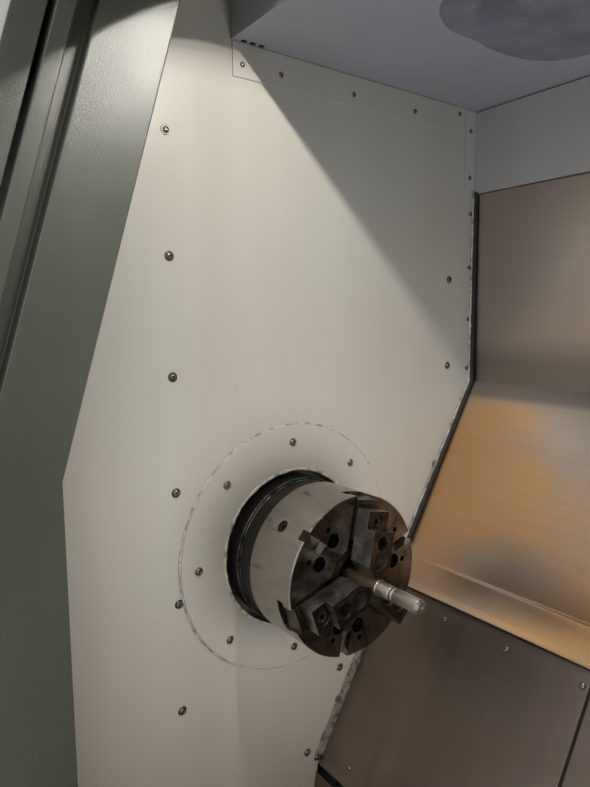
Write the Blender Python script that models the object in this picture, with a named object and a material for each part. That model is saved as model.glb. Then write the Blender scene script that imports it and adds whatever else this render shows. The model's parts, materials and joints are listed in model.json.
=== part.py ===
"""Slant-bed CNC turning lathe with a three-jaw power chuck, turret and sliding door.

Every piece is drawn about one datum: the spindle axis where it meets the chamber face of the
headstock wall. +X runs along the spindle towards the turret, +Y to the back, +Z up.
Cross sections are profiles in the YZ plane, extruded along X or turned about an X axis.
"""

import math

import bmesh
import bpy
from mathutils import Matrix, Vector

# Overall sizes and the running gap between pieces that touch
GAP = 0.0003
SHEET = 0.002
HEADSTOCK_LENGTH = 0.86
CHAMBER_LENGTH = 1.20
TAIL_LENGTH = 0.34
SPINDLE_HEIGHT = 1.00
TOP_Z = 0.74
CASE_BACK_Y = 1.03

# The front of the enclosure: upright below the kink, leaning back above it
POST_INNER_Y = -0.342
KINK_Z = 0.166
LEAN = math.radians(16.3)
POST_DEPTH = 0.114
POST_X = 0.080
POST_WIDTH = 0.0765
OPENING_LENGTH = 0.74
SILL_Z = -0.36
HEADER_Z = 0.64
CHANNEL_NEAR = 0.078
CHANNEL_FAR = 0.096
CHANNEL_DEPTH = 0.018

# The slanted plane that the carriage runs along
SLANT = math.radians(59.0)
COVER_D = 0.223
COVER_TOP_Y = 0.391
COVER_LIP_T = 0.0295
LIP_BAND = 0.034
LIP_DROP = 0.0125
LIP_KICK = 0.0055
WAY_COVER_D = 0.226
WAY_COVER_TOP_T = 0.0146
WAY_COVER_FOOT_T = -0.288
WAY_COVER_LAP = 0.005
WAY_COVER_CLEAR = 0.015
WAY_COVER_HEM = 0.0040
MOVING_COVER_DROP = 0.0060
BED_D = 0.300
WAY_D = 0.270
WAY_SPANS = ((-0.27, -0.21), (-0.06, 0.0))
BED_TOP_T = 0.03

# Inner sheets of the chamber
ROOF_Z = 0.677
ROOF_FRONT_Y = -0.090
HEADER_FOOT_Z = 0.541
WALL_THICK = 0.003
WALL_HOLE_R = 0.135
CHUTE_FLOOR_Z = -0.640
CHUTE_END_MARGIN = 0.150
CHUTE_SLOT_NEAR_Y = -0.260
CHUTE_SLOT_FAR_Y = -0.080
RING_CLEAR = 0.0081
RING_WIDTH = 0.0663
RING_THICK = 0.003

# Base casting and feet
FOOT_HEIGHT = 0.060
FOOT_R = 0.050
FOOT_INSET_X = 0.100
FOOT_INSET_Y = 0.070
PLATE_THICK = 0.060
PLATE_REACH = 0.058
PLATE_BACK_INSET = 0.030
BED_BACK_Y = 0.620
BED_TOE = (0.060, -0.520)
BASE_LEFT_INSET = 0.060
BASE_RIGHT_INSET = 0.040
CORE_COUNT = 5
CORE_SHARE = 0.76
CORE_FRONT_Y = 0.200
CORE_TOP_Z = -0.460
CORE_FLOOR = 0.060
TANK_WALL = 0.004

# Headstock, spindle and drive; pieces on one axis share their facets, so that they stay apart
DRIVE_STEPS = 32
CASTING_RIGHT_X = -0.040
HOUSING_BORE_R = 0.0803
SPINDLE_R = 0.050
SPINDLE_REAR_R = 0.045
SPINDLE_BORE_R = 0.031
NOSE_R = 0.0825
NOSE_THICK = 0.032
BEARING_LENGTH = 0.070
FRONT_BEARING_INSET = 0.005
REAR_BEARING_INSET = 0.030
PULLEY_INSET = 0.020
PULLEY_LENGTH = 0.070
PULLEY_GAP = 0.030
PULLEY_RIBS = 3
PULLEY_RIB_DEPTH = 0.003
SPINDLE_PULLEY_R = 0.085
MOTOR_PULLEY_R = 0.060
MOTOR_Y = -0.190
MOTOR_R = 0.120
MOTOR_STAND = 0.020
MOTOR_LENGTH = 0.360
MOTOR_SHAFT_R = 0.019
MOTOR_FINS = 4
BELT_THICK = 0.005
BELT_SEAT = 0.0006
CYLINDER_R = 0.100
CYLINDER_LENGTH = 0.180
CYLINDER_CLEAR = 0.060
TUBE_OVERHANG = 0.060

# Power chuck
CHUCK_R = 0.105
CHUCK_BACK_X = 0.050
CHUCK_FACE_X = 0.139
CHUCK_EDGE = 0.0015
ADAPTER_STEP_X = 0.020
ADAPTER_STEP = 0.004
CAVITY_R = 0.046
CAVITY_WALL = 0.005
SLOT_WEB = 0.002
COVER_RECESS_R = 0.041
COVER_RECESS_DEPTH = 0.008
COVER_THICK = 0.005
THROUGH_R = 0.026
JAW_ANGLES = (78.8, 198.8, 318.8)
JAW_STROKE = 0.0037
PLUNGER_STROKE = 0.016
PLUNGER_CLEAR = 0.002
PLUNGER_CHAMFER = 0.004
TUBE_R = 0.0300
SLOT_START = 0.0200
SLOT_NECK = 0.0355
SLOT_FOOT = 0.0440
SLOT_FOOT_DEPTH = 0.0120
SLOT_NECK_DEPTH = 0.0150
MASTER_PROUD = 0.0040
MASTER_INNER = 0.0475
MASTER_INSET = 0.0050
TOP_JAW_WIDTH = 0.0350
TOP_JAW_INNER = 0.0240
TOP_JAW_INSET = 0.0150
TOP_JAW_STEP = 0.0680
TOP_JAW_LOW = 0.0210
TOP_JAW_HIGH = 0.0350
JAW_BOLT_RADII = (0.0767, 0.0530)
JAW_BOLT_R = 0.0095
JAW_BOLT_SEAT = 0.0080
SCALLOP_R = 0.0115
SCALLOP_AT = 0.0305
NOSE_HALF_WIDTH = 0.0050
NOTCH_WIDTH = 0.0140
NOTCH_INNER = 0.0710
NOTCH_DEPTH = 0.012
CHUCK_BOLT_R = 0.0667
CHUCK_BOLT_HOLE_R = 0.0100
CHUCK_BOLT_HOLE_DEPTH = 0.030
CHUCK_BOLT_SWEEP = 14.5
CHUCK_PIN_R = 0.084
CHUCK_PIN_HOLE_R = 0.0042
CHUCK_PIN_SWEEP = 15.8
SIDE_PLUG_R = 0.0085
SIDE_PLUG_DEPTH = 0.006
SIDE_PLUG_BACK = 0.050
BAR_R = 0.010
TURNED_R = 0.009
TURNED_START = 0.006
TURNED_LENGTH = 0.068
BAR_BACK_X = -0.100

# Wedge hooks: the jaws' inclined T feet in the plunger's inclined T slots
HOOK_MID_X = 0.0740
HOOK_R = 0.0370
HOOK_HEAD = 0.0050
HOOK_WIDTH = 0.0180
HOOK_NECK = 0.0100
STEM_INNER = 0.0485
STEM_OUTER = 0.0600
STEM_WIDTH = 0.0200
POCKET_CLEAR = 0.0010

# Carriage, cross slide and turret
SADDLE_RIGHT_CLEAR = 0.100
SADDLE_LENGTH = 0.300
CARRIAGE_TRAVEL = 0.330
SADDLE_FOOT_T = -0.285
SADDLE_NECK_T = 0.005
SADDLE_HEAD_T = 0.395
SADDLE_FACE_D = 0.155
SADDLE_BACK_D = 0.200
SLIDE_FACE_D = 0.105
SLIDE_LOW = 0.200
SLIDE_HIGH = 0.110
CROSS_TRAVEL = 0.180
GUIDE_INSET = 0.100
GUIDE_DEPTH = 0.012
GUIDE_SPARE = 0.050
TURRET_T = 0.370
DISC_OVERHANG = 0.110
DISC_THICK = 0.090
DISC_FLAT_R = 0.125
STATIONS = 8
TOOLED_STATIONS = (0, 1, 2, 4, 6)
STATION_CORNER = 3.5
HOUSING_R = 0.090
HOUSING_LENGTH = 0.250
SHANK = 0.025
TOOL_REACH = 0.170
SCREW_R = 0.016
SCREW_T = -0.140
SCREW_D = 0.2620
SCREW_LEFT_X = 0.050
SCREW_OVERRUN = 0.100

# Sliding door, console and electrical cabinet
DOOR_NEAR = 0.120
DOOR_THICK = 0.030
DOOR_LAP = 0.030
DOOR_REST_CLEAR = 0.005
DOOR_FOOT_Z = -0.400
DOOR_TOP_Z = 0.700
WINDOW_FOOT_Z = 0.215
WINDOW_TOP_Z = 0.600
WINDOW_MARGIN = 0.110
WINDOW_LAP = 0.014
WINDOW_SEAT = 0.010
WINDOW_THICK = 0.006
HANDLE_REACH = 0.045
HANDLE_R = 0.011
HANDLE_INSET = 0.055
HANDLE_LOW_Z = -0.150
HANDLE_HIGH_Z = 0.080
HANDLE_LEG_INSET = 0.020
CONSOLE_RIGHT_CLEAR = 0.080
CONSOLE_LENGTH = 0.460
CONSOLE_FOOT_Z = -0.120
CONSOLE_TOP_Z = 0.600
CONSOLE_THICK = 0.046
SCREEN_LEFT_INSET = 0.060
SCREEN_RIGHT_INSET = 0.100
SCREEN_FOOT_Z = 0.285
SCREEN_TOP_Z = 0.550
SCREEN_RECESS = 0.008
SCREEN_THICK = 0.005
KEY_SIZE = 0.020
KEY_PITCH = 0.030
KEY_HEIGHT = 0.003
HANDWHEEL_REACH = 0.050
CABINET_LEFT_X = 0.100
CABINET_GAP = 0.043
CABINET_WALL = 0.004
CABINET_DOOR_LENGTH = 0.90
CABINET_DOOR_RISE = 0.080
CABINET_DOOR_DROP = 0.180
CABINET_DOOR_THICK = 0.020
CABINET_HINGE_INSET = 0.100
CABINET_MOUTH_RIM = 0.025
ISOLATOR_REACH = 0.034
ISOLATOR_R = 0.034
ISOLATOR_INSET = 0.120
ISOLATOR_Z = 0.200
LOUVRE_COUNT = 8
LOUVRE_PITCH = 0.035
LOUVRE_HEIGHT = 0.012
LOUVRE_FOOT_Z = -0.620
REAR_LOUVRE_FOOT_Z = 0.100
BAR_HOLE_R = 0.060

# Worked out from the sizes above
SKIN = 0.003
SKIN_NEAR = POST_DEPTH - SKIN
FASCIA_FAR = POST_DEPTH + GAP + SKIN
LEFT_X = -HEADSTOCK_LENGTH
RIGHT_X = CHAMBER_LENGTH + TAIL_LENGTH
FLOOR_Z = -SPINDLE_HEIGHT
BASE_FOOT_Z = FLOOR_Z + FOOT_HEIGHT
BASE_PLATE_TOP = BASE_FOOT_Z + PLATE_THICK
BASE_FRONT_Y = POST_INNER_Y - PLATE_REACH
BASE_BACK_Y = CASE_BACK_Y - PLATE_BACK_INSET
BASE_LEFT_X = LEFT_X + BASE_LEFT_INSET
BASE_RIGHT_X = RIGHT_X - BASE_RIGHT_INSET
SKIN_FOOT_Z = BASE_FOOT_Z + 0.010
TOP_SHEET_Z = TOP_Z - 0.005
KNOB_FRONT_Y = POST_INNER_Y - POST_DEPTH - GAP - CONSOLE_THICK - HANDWHEEL_REACH
BACK_Y = CASE_BACK_Y + GAP + CABINET_DOOR_THICK + ISOLATOR_REACH
DATUM = Vector((-(LEFT_X + RIGHT_X) / 2, -(KNOB_FRONT_Y + BACK_Y) / 2, SPINDLE_HEIGHT))

SPINDLE_END_X = LEFT_X + CYLINDER_CLEAR + CYLINDER_LENGTH
PULLEY_LEFT_X = SPINDLE_END_X + PULLEY_INSET
CASTING_LEFT_X = PULLEY_LEFT_X + PULLEY_LENGTH + PULLEY_GAP
MOTOR_LEFT_X = CASTING_LEFT_X
REAR_BEARING_X = CASTING_LEFT_X + REAR_BEARING_INSET
FRONT_BEARING_X = CASTING_RIGHT_X - BEARING_LENGTH - FRONT_BEARING_INSET
MOTOR_Z = BASE_PLATE_TOP + MOTOR_R + MOTOR_STAND

ADAPTER_R = CHUCK_R - ADAPTER_STEP
RING_INNER_R = CHUCK_R + RING_CLEAR
RING_OUTER_R = RING_INNER_R + RING_WIDTH
MASTER_OUTER = CHUCK_R - MASTER_INSET
TOP_JAW_OUTER = CHUCK_R - TOP_JAW_INSET
SLOT_NECK_X = CHUCK_FACE_X - SLOT_NECK_DEPTH
SLOT_FOOT_X = SLOT_NECK_X - SLOT_FOOT_DEPTH
MASTER_TOP_X = CHUCK_FACE_X + MASTER_PROUD
TOP_JAW_LOW_X = MASTER_TOP_X + TOP_JAW_LOW
TOP_JAW_HIGH_X = MASTER_TOP_X + TOP_JAW_HIGH
TURNED_X = TOP_JAW_HIGH_X + TURNED_START
BAR_END_X = TURNED_X + TURNED_LENGTH
CAVITY_BACK_X = CHUCK_BACK_X + CAVITY_WALL
CAVITY_FRONT_X = SLOT_FOOT_X - SLOT_WEB
PLUNGER_BACK_X = CAVITY_BACK_X + 2 * GAP
PLUNGER_FRONT_X = CAVITY_FRONT_X - PLUNGER_STROKE - PLUNGER_CLEAR + 2 * GAP
HOOK_NEAR_X = PLUNGER_BACK_X + PLUNGER_STROKE + GAP
HOOK_FAR_X = PLUNGER_FRONT_X - 2 * GAP

SADDLE_LEFT_X = CHAMBER_LENGTH - SADDLE_RIGHT_CLEAR - SADDLE_LENGTH
DISC_X = SADDLE_LEFT_X - DISC_OVERHANG
SCREW_RIGHT_X = CHAMBER_LENGTH + SCREW_OVERRUN
FIXED_COVER_LENGTH = WAY_COVER_CLEAR + CARRIAGE_TRAVEL + WAY_COVER_LAP
MOVING_COVER_D = WAY_COVER_D + MOVING_COVER_DROP
GUIDE_FOOT_T = TURRET_T - SLIDE_LOW - CROSS_TRAVEL - GUIDE_SPARE

RIGHT_POST_X = POST_X + OPENING_LENGTH
DOOR_LENGTH = OPENING_LENGTH + 2 * DOOR_LAP
DOOR_TRAVEL = OPENING_LENGTH + DOOR_LAP
DOOR_RIGHT_X = POST_X - DOOR_REST_CLEAR
HANDLE_X = DOOR_RIGHT_X - HANDLE_INSET
CONSOLE_LEFT_X = RIGHT_X - CONSOLE_RIGHT_CLEAR - CONSOLE_LENGTH
CABINET_FRONT_Y = BED_BACK_Y + CABINET_GAP
CABINET_HINGE_X = CABINET_LEFT_X + CABINET_HINGE_INSET
CABINET_DOOR_FOOT_Z = BASE_PLATE_TOP + CABINET_DOOR_RISE
CABINET_DOOR_TOP_Z = TOP_Z - CABINET_DOOR_DROP

# Finishes: base colour, metallic value and roughness
FINISHES = {
    "sage_paint": ((0.33, 0.36, 0.31), 0.0, 0.30),
    "wall_paint": ((0.47, 0.45, 0.40), 0.0, 0.42),
    "beige_paint": ((0.66, 0.63, 0.55), 0.0, 0.42),
    "grey_paint": ((0.36, 0.36, 0.36), 0.0, 0.50),
    "casting_paint": ((0.20, 0.26, 0.24), 0.0, 0.55),
    "stainless": ((0.55, 0.50, 0.44), 1.0, 0.32),
    "dull_steel": ((0.36, 0.34, 0.32), 1.0, 0.48),
    "ground_steel": ((0.62, 0.60, 0.57), 1.0, 0.26),
    "oiled_steel": ((0.24, 0.21, 0.19), 1.0, 0.36),
    "black_oxide": ((0.025, 0.025, 0.027), 0.3, 0.38),
    "turned_bar": ((0.78, 0.76, 0.73), 1.0, 0.16),
    "belt_rubber": ((0.02, 0.02, 0.02), 0.0, 0.75),
    "clear_sheet": ((0.75, 0.80, 0.80), 0.0, 0.08),
    "screen_glass": ((0.03, 0.05, 0.07), 0.0, 0.10),
    "red_plastic": ((0.62, 0.03, 0.03), 0.0, 0.35),
    "green_plastic": ((0.05, 0.36, 0.12), 0.0, 0.35),
    "dark_plastic": ((0.06, 0.06, 0.065), 0.0, 0.45),
}


def clear_scene():
    """Remove whatever the file held."""
    for old in list(bpy.data.objects):
        bpy.data.objects.remove(old)


def finish_named(name):
    """The Principled material of one finish, made once."""
    found = bpy.data.materials.get(name)
    if found:
        return found
    colour, metallic, roughness = FINISHES[name]
    made = bpy.data.materials.new(name)
    made.use_nodes = True
    shader = made.node_tree.nodes["Principled BSDF"]
    shader.inputs["Base Color"].default_value = (*colour, 1.0)
    shader.inputs["Metallic"].default_value = metallic
    shader.inputs["Roughness"].default_value = roughness
    made.diffuse_color = (*colour, 1.0)
    return made


def empty_at(name, place, parent=None):
    """An empty at a place in its parent's frame; moving pieces hang on one that stands on their axis."""
    made = bpy.data.objects.new(name, None)
    made.location = place
    made.parent = parent
    bpy.context.scene.collection.objects.link(made)
    return made


def slope(t, d):
    """The (y, z) of a point t up the slant and d behind the spindle axis, square to the slant."""
    return (
        t * math.cos(SLANT) + d * math.sin(SLANT),
        t * math.sin(SLANT) - d * math.cos(SLANT),
    )


def front(off, z):
    """The y of the enclosure's front at height z, off metres outside the posts' inner edge."""
    upright = POST_INNER_Y - off
    leaning = POST_INNER_Y - off / math.cos(LEAN) + (z - KINK_Z) * math.tan(LEAN)
    return max(upright, leaning)


def kink(off):
    """The (y, z) where the front turns from upright to leaning, at one offset."""
    return (POST_INNER_Y - off, KINK_Z + off * math.tan(LEAN / 2))


def front_band(near, far, low, high):
    """The outline of a sheet or board that follows the front between two offsets and two heights."""
    outline = [(front(near, low), low)]
    if low < kink(near)[1] < high:
        outline.append(kink(near))
    outline += [(front(near, high), high), (front(far, high), high)]
    if low < kink(far)[1] < high:
        outline.append(kink(far))
    return outline + [(front(far, low), low)]


def strip(points, thick):
    """The closed outline of a folded sheet whose face follows the points, thick to their left side."""
    path = [Vector(p) for p in points]
    turns = []
    for index, here in enumerate(path):
        before = (here - path[index - 1]).normalized() if index else None
        after = (path[index + 1] - here).normalized() if index + 1 < len(path) else None
        before = before or after
        after = after or before
        normal = Vector((-(before.y + after.y), before.x + after.x)).normalized()
        reach = thick / max(0.3, normal.dot(Vector((-before.y, before.x))))
        turns.append(here + normal * reach)
    return [tuple(p) for p in path] + [tuple(p) for p in reversed(turns)]


def prism(outline, x0, x1):
    """A bmesh of a YZ outline extruded along X."""
    bm = bmesh.new()
    ring = [bm.verts.new((x0, y, z)) for y, z in outline]
    face = bm.faces.new(ring)
    made = bmesh.ops.extrude_face_region(bm, geom=[face])
    moved = [v for v in made["geom"] if isinstance(v, bmesh.types.BMVert)]
    bmesh.ops.translate(bm, verts=moved, vec=(x1 - x0, 0, 0))
    bmesh.ops.recalc_face_normals(bm, faces=bm.faces)
    return bm


def block(low, high):
    """A bmesh box between two corners."""
    bm = bmesh.new()
    bmesh.ops.create_cube(bm, size=1.0)
    size = Vector(high) - Vector(low)
    bmesh.ops.scale(bm, vec=size, verts=bm.verts)
    bmesh.ops.translate(bm, vec=(Vector(high) + Vector(low)) / 2, verts=bm.verts)
    return bm


def turned(profile, steps=48, centre=(0.0, 0.0)):
    """A bmesh of a closed (x, r) profile turned about the X axis through centre."""
    bm = bmesh.new()
    verts = [bm.verts.new((x, 0, r)) for x, r in profile]
    edges = [bm.edges.new((a, b)) for a, b in zip(verts, verts[1:] + verts[:1])]
    bmesh.ops.spin(
        bm, geom=verts + edges, cent=(0, 0, 0), axis=(1, 0, 0),
        angle=2 * math.pi, steps=steps, use_merge=True,
    )
    bmesh.ops.remove_doubles(bm, verts=bm.verts, dist=1e-6)
    bmesh.ops.translate(bm, vec=(0, *centre), verts=bm.verts)
    bmesh.ops.recalc_face_normals(bm, faces=bm.faces)
    return bm


def rod(start, end, radius, steps=24):
    """A bmesh cylinder between two points."""
    start, end = Vector(start), Vector(end)
    along = end - start
    bm = bmesh.new()
    bmesh.ops.create_cone(
        bm, cap_ends=True, segments=steps, radius1=radius, radius2=radius, depth=along.length
    )
    turn = Vector((0, 0, 1)).rotation_difference(along).to_matrix().to_4x4()
    bmesh.ops.transform(bm, matrix=Matrix.Translation((start + end) / 2) @ turn, verts=bm.verts)
    return bm


def joined(*pieces):
    """One bmesh that holds several separate shapes, for a cutter."""
    whole = bmesh.new()
    for piece in pieces:
        mesh = bpy.data.meshes.new("shape")
        piece.to_mesh(mesh)
        whole.from_mesh(mesh)
        piece.free()
        bpy.data.meshes.remove(mesh)
    return whole


def spun(bm, degrees, centre=(0.0, 0.0)):
    """The bmesh turned about the X axis through centre."""
    turn = Matrix.Rotation(math.radians(degrees), 4, "X")
    place = Matrix.Translation((0, *centre))
    bmesh.ops.transform(bm, matrix=place @ turn @ place.inverted(), verts=bm.verts)
    return bm


def place_of(parent):
    """Where an empty stands in the datum's frame."""
    return Vector(parent.get("stands_at", (0, 0, 0)))


def mesh_object(name, bm, origin, parent):
    """Link a bmesh as an object whose origin stands at a place in the datum's frame."""
    bmesh.ops.translate(bm, vec=-Vector(origin), verts=bm.verts)
    mesh = bpy.data.meshes.new(name)
    bm.to_mesh(mesh)
    bm.free()
    made = bpy.data.objects.new(name, mesh)
    made.parent = parent
    made.location = Vector(origin) - place_of(parent)
    bpy.context.scene.collection.objects.link(made)
    return made


def piece(name, bm, finish, parent, cuts=(), adds=(), origin=(0, 0, 0), bevel=0.0):
    """One named part: a shape, the shapes united with it, the shapes cut from it and its finish."""
    made = mesh_object(name, bm, origin, parent)
    made.data.materials.append(finish_named(finish))
    if bevel:
        edge = made.modifiers.new("edges", "BEVEL")
        edge.width = bevel
        edge.segments = 1
        edge.limit_method = "ANGLE"
    for operation, shapes in (("UNION", adds), ("DIFFERENCE", cuts)):
        for index, shape in enumerate(shapes):
            helper = mesh_object(f"{name}.{operation.lower()}{index}", shape, origin, parent)
            helper.hide_render = True
            helper.display_type = "WIRE"
            step = made.modifiers.new(helper.name, "BOOLEAN")
            step.operation = operation
            step.object = helper
    made.data.shade_smooth()
    made.data.set_sharp_from_angle(angle=math.radians(30))
    return made


def stand(name, place, parent):
    """An empty on a joint's axis, which remembers its place for the pieces that hang on it."""
    made = empty_at(name, Vector(place) - place_of(parent), parent)
    made["stands_at"] = Vector(place)
    return made


def polar(radius, degrees):
    """The (y, z) at a radius and an angle from +Y towards +Z."""
    angle = math.radians(degrees)
    return radius * math.cos(angle), radius * math.sin(angle)


def base_casting(datum):
    """The one-piece base: plate, slanted bed with integral box ways, cored back and levelling feet."""
    outline = [
        (BASE_FRONT_Y, BASE_FOOT_Z),
        (BASE_BACK_Y, BASE_FOOT_Z),
        (BASE_BACK_Y, BASE_PLATE_TOP),
        (BED_BACK_Y, BASE_PLATE_TOP),
        (BED_BACK_Y, slope(BED_TOP_T, BED_D)[1]),
        slope(BED_TOP_T, BED_D),
    ]
    for low, high in reversed(WAY_SPANS):
        outline += [slope(high, BED_D), slope(high, WAY_D), slope(low, WAY_D), slope(low, BED_D)]
    outline += [
        slope(WAY_SPANS[0][0] - 0.03, BED_D),
        BED_TOE,
        (BED_TOE[0], BASE_PLATE_TOP),
        (BASE_FRONT_Y, BASE_PLATE_TOP),
    ]
    span = (BASE_RIGHT_X - BASE_LEFT_X) / CORE_COUNT
    rib = span * (1 - CORE_SHARE) / 2
    cores = [
        block(
            (BASE_LEFT_X + span * n + rib, CORE_FRONT_Y, BASE_PLATE_TOP + CORE_FLOOR),
            (BASE_LEFT_X + span * (n + 1) - rib, BED_BACK_Y + 0.05, CORE_TOP_Z),
        )
        for n in range(CORE_COUNT)
    ]
    middle_x = (BASE_LEFT_X + BASE_RIGHT_X) / 2
    adds = [
        levelling_foot(x, y)
        for x in (BASE_LEFT_X + FOOT_INSET_X, middle_x, BASE_RIGHT_X - FOOT_INSET_X)
        for y in (BASE_FRONT_Y + FOOT_INSET_Y, BASE_BACK_Y - FOOT_INSET_Y)
    ]
    bearing_blocks = [
        block_on_slope(x, x + 0.04, SCREW_T - 0.035, SCREW_T + 0.035, SCREW_D - 0.026, BED_D + 0.01)
        for x in (SCREW_LEFT_X + 0.002, SCREW_RIGHT_X - 0.042)
    ]
    bore = rod(
        (SCREW_LEFT_X - 0.01, *slope(SCREW_T, SCREW_D)),
        (SCREW_RIGHT_X + 0.01, *slope(SCREW_T, SCREW_D)),
        SCREW_R + GAP,
    )
    piece(
        "base_casting", prism(outline, BASE_LEFT_X, BASE_RIGHT_X), "casting_paint", datum,
        adds=[joined(*adds), joined(*bearing_blocks)], cuts=[joined(*cores), bore],
    )


def levelling_foot(x, y):
    """One levelling foot with its stem, standing on the floor and reaching up into the base."""
    stem_r = 0.018
    top = FOOT_HEIGHT + 0.010
    foot = turned([(0, 0), (0, FOOT_R), (0.016, FOOT_R), (0.024, stem_r), (top, stem_r), (top, 0)], 16)
    bmesh.ops.rotate(foot, matrix=Matrix.Rotation(-math.pi / 2, 3, "Y"), verts=foot.verts)
    bmesh.ops.translate(foot, vec=(x, y, FLOOR_Z), verts=foot.verts)
    return foot


def block_on_slope(x0, x1, t0, t1, d0, d1):
    """A bmesh box with its sides square to the slant."""
    return prism([slope(t0, d0), slope(t1, d0), slope(t1, d1), slope(t0, d1)], x0, x1)


def sheet_on_slope(outline, low, high):
    """A bmesh of an (x, d) outline extruded up the slant between two heights along it."""
    bm = bmesh.new()
    face = bm.faces.new([bm.verts.new((x, *slope(low, d))) for x, d in outline])
    made = bmesh.ops.extrude_face_region(bm, geom=[face])
    moved = [v for v in made["geom"] if isinstance(v, bmesh.types.BMVert)]
    bmesh.ops.translate(bm, verts=moved, vec=(0, *slope(high - low, 0)))
    bmesh.ops.recalc_face_normals(bm, faces=bm.faces)
    return bm


def coolant_tank(datum):
    """The open tank that stands on the base plate under the chip chute."""
    low = (0.02, POST_INNER_Y - SKIN_NEAR + 0.02, BASE_PLATE_TOP + GAP)
    high = (RIGHT_X - 0.04, 0.05, CHUTE_FLOOR_Z - 0.03)
    inner = block(
        Vector(low) + Vector((TANK_WALL,) * 3),
        Vector(high) - Vector((TANK_WALL, TANK_WALL, -0.02)),
    )
    piece("coolant_tank", block(low, high), "casting_paint", datum, cuts=[inner])


def headstock_casting(datum):
    """The ribbed spindle housing, seated on the box ways."""
    seat = WAY_D - GAP
    outline = [
        slope(WAY_SPANS[0][0], seat), slope(WAY_SPANS[1][1] + 0.02, seat),
        (0.200, 0.050), (0.120, 0.160), (-0.100, 0.160), (-0.150, 0.110), (-0.150, -0.100),
    ]
    bore = turned([(CASTING_LEFT_X - 0.01, 0), (CASTING_LEFT_X - 0.01, HOUSING_BORE_R),
                   (CASTING_RIGHT_X + 0.01, HOUSING_BORE_R), (CASTING_RIGHT_X + 0.01, 0)], DRIVE_STEPS)
    pitch = (CASTING_RIGHT_X - CASTING_LEFT_X) / 7
    grooves = [
        block(
            (CASTING_LEFT_X + pitch * (n + 0.7), -0.20, 0.135),
            (CASTING_LEFT_X + pitch * (n + 1.3), 0.25, 0.20),
        )
        for n in range(6)
    ]
    piece(
        "headstock_casting", prism(outline, CASTING_LEFT_X, CASTING_RIGHT_X), "casting_paint", datum,
        cuts=[bore, joined(*grooves)],
    )


def bearings(datum):
    """The front and rear spindle bearings, each one ring between spindle and housing."""
    for name, left, inner in (
        ("front_bearing", FRONT_BEARING_X, SPINDLE_R),
        ("rear_bearing", REAR_BEARING_X, SPINDLE_REAR_R),
    ):
        right = left + BEARING_LENGTH
        outer = HOUSING_BORE_R - GAP
        middle = (inner + outer) / 2
        ring = turned([
            (left, inner + GAP), (left, middle - 0.004), (left + 0.004, middle - 0.004),
            (left + 0.004, middle + 0.004), (left, middle + 0.004), (left, outer), (right, outer),
            (right, inner + GAP),
        ], DRIVE_STEPS)
        piece(name, ring, "ground_steel", datum)


def spindle_group(datum):
    """Everything that turns with the spindle."""
    hub = stand("spindle_axis", (0, 0, 0), datum)
    nose_back = -WALL_THICK - NOSE_THICK - 0.001
    nose_front = nose_back + NOSE_THICK
    step_x = REAR_BEARING_X + BEARING_LENGTH + 0.05
    spindle = turned([
        (SPINDLE_END_X, SPINDLE_BORE_R), (SPINDLE_END_X, SPINDLE_REAR_R), (step_x, SPINDLE_REAR_R),
        (step_x + 0.005, SPINDLE_R), (nose_back, SPINDLE_R), (nose_back, NOSE_R),
        (nose_front, NOSE_R), (nose_front, SPINDLE_BORE_R),
    ], DRIVE_STEPS)
    piece("spindle", spindle, "ground_steel", hub)
    adapter = turned([
        (nose_front + GAP, SPINDLE_BORE_R), (nose_front + GAP, CHUCK_R), (ADAPTER_STEP_X, CHUCK_R),
        (ADAPTER_STEP_X, ADAPTER_R), (CHUCK_BACK_X - GAP, ADAPTER_R), (CHUCK_BACK_X - GAP, SPINDLE_BORE_R),
    ], 48)
    piece("chuck_adapter", adapter, "black_oxide", hub)
    piece("spindle_pulley", grooved_pulley(SPINDLE_PULLEY_R, SPINDLE_REAR_R + GAP), "ground_steel", hub)
    left = SPINDLE_END_X - GAP - CYLINDER_LENGTH
    inner = TUBE_R + 0.0010
    cylinder = turned([
        (left, inner), (left, 0.060), (left + 0.05, 0.060), (left + 0.05, 0.078),
        (left + 0.075, 0.078), (left + 0.08, CYLINDER_R), (left + 0.145, CYLINDER_R),
        (left + 0.150, 0.070), (SPINDLE_END_X - GAP, 0.070), (SPINDLE_END_X - GAP, inner),
    ], 28)
    piece("hydraulic_cylinder", cylinder, "ground_steel", hub)
    chuck_body(hub)
    chuck_cover(hub)
    workpiece_bar(hub)
    draw_tube(stand("draw_tube_line", (0, 0, 0), hub))
    for number, angle in enumerate(JAW_ANGLES, 1):
        rail = stand(f"jaw_{number}_line", (0, 0, 0), hub)
        master_jaw(number, angle, rail)
        top_jaw(number, angle, rail)


def grooved_pulley(radius, bore):
    """A turned pulley with ribs for a poly-V belt."""
    right = PULLEY_LEFT_X + PULLEY_LENGTH
    points = [(PULLEY_LEFT_X, bore), (PULLEY_LEFT_X, radius)]
    edge = 0.005
    pitch = (PULLEY_LENGTH - 2 * edge) / PULLEY_RIBS
    for n in range(PULLEY_RIBS):
        x = PULLEY_LEFT_X + edge + pitch * n
        points += [(x, radius), (x + pitch / 2, radius - PULLEY_RIB_DEPTH)]
    points += [(right - edge, radius), (right, radius), (right, bore)]
    return turned(points, DRIVE_STEPS)


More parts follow.
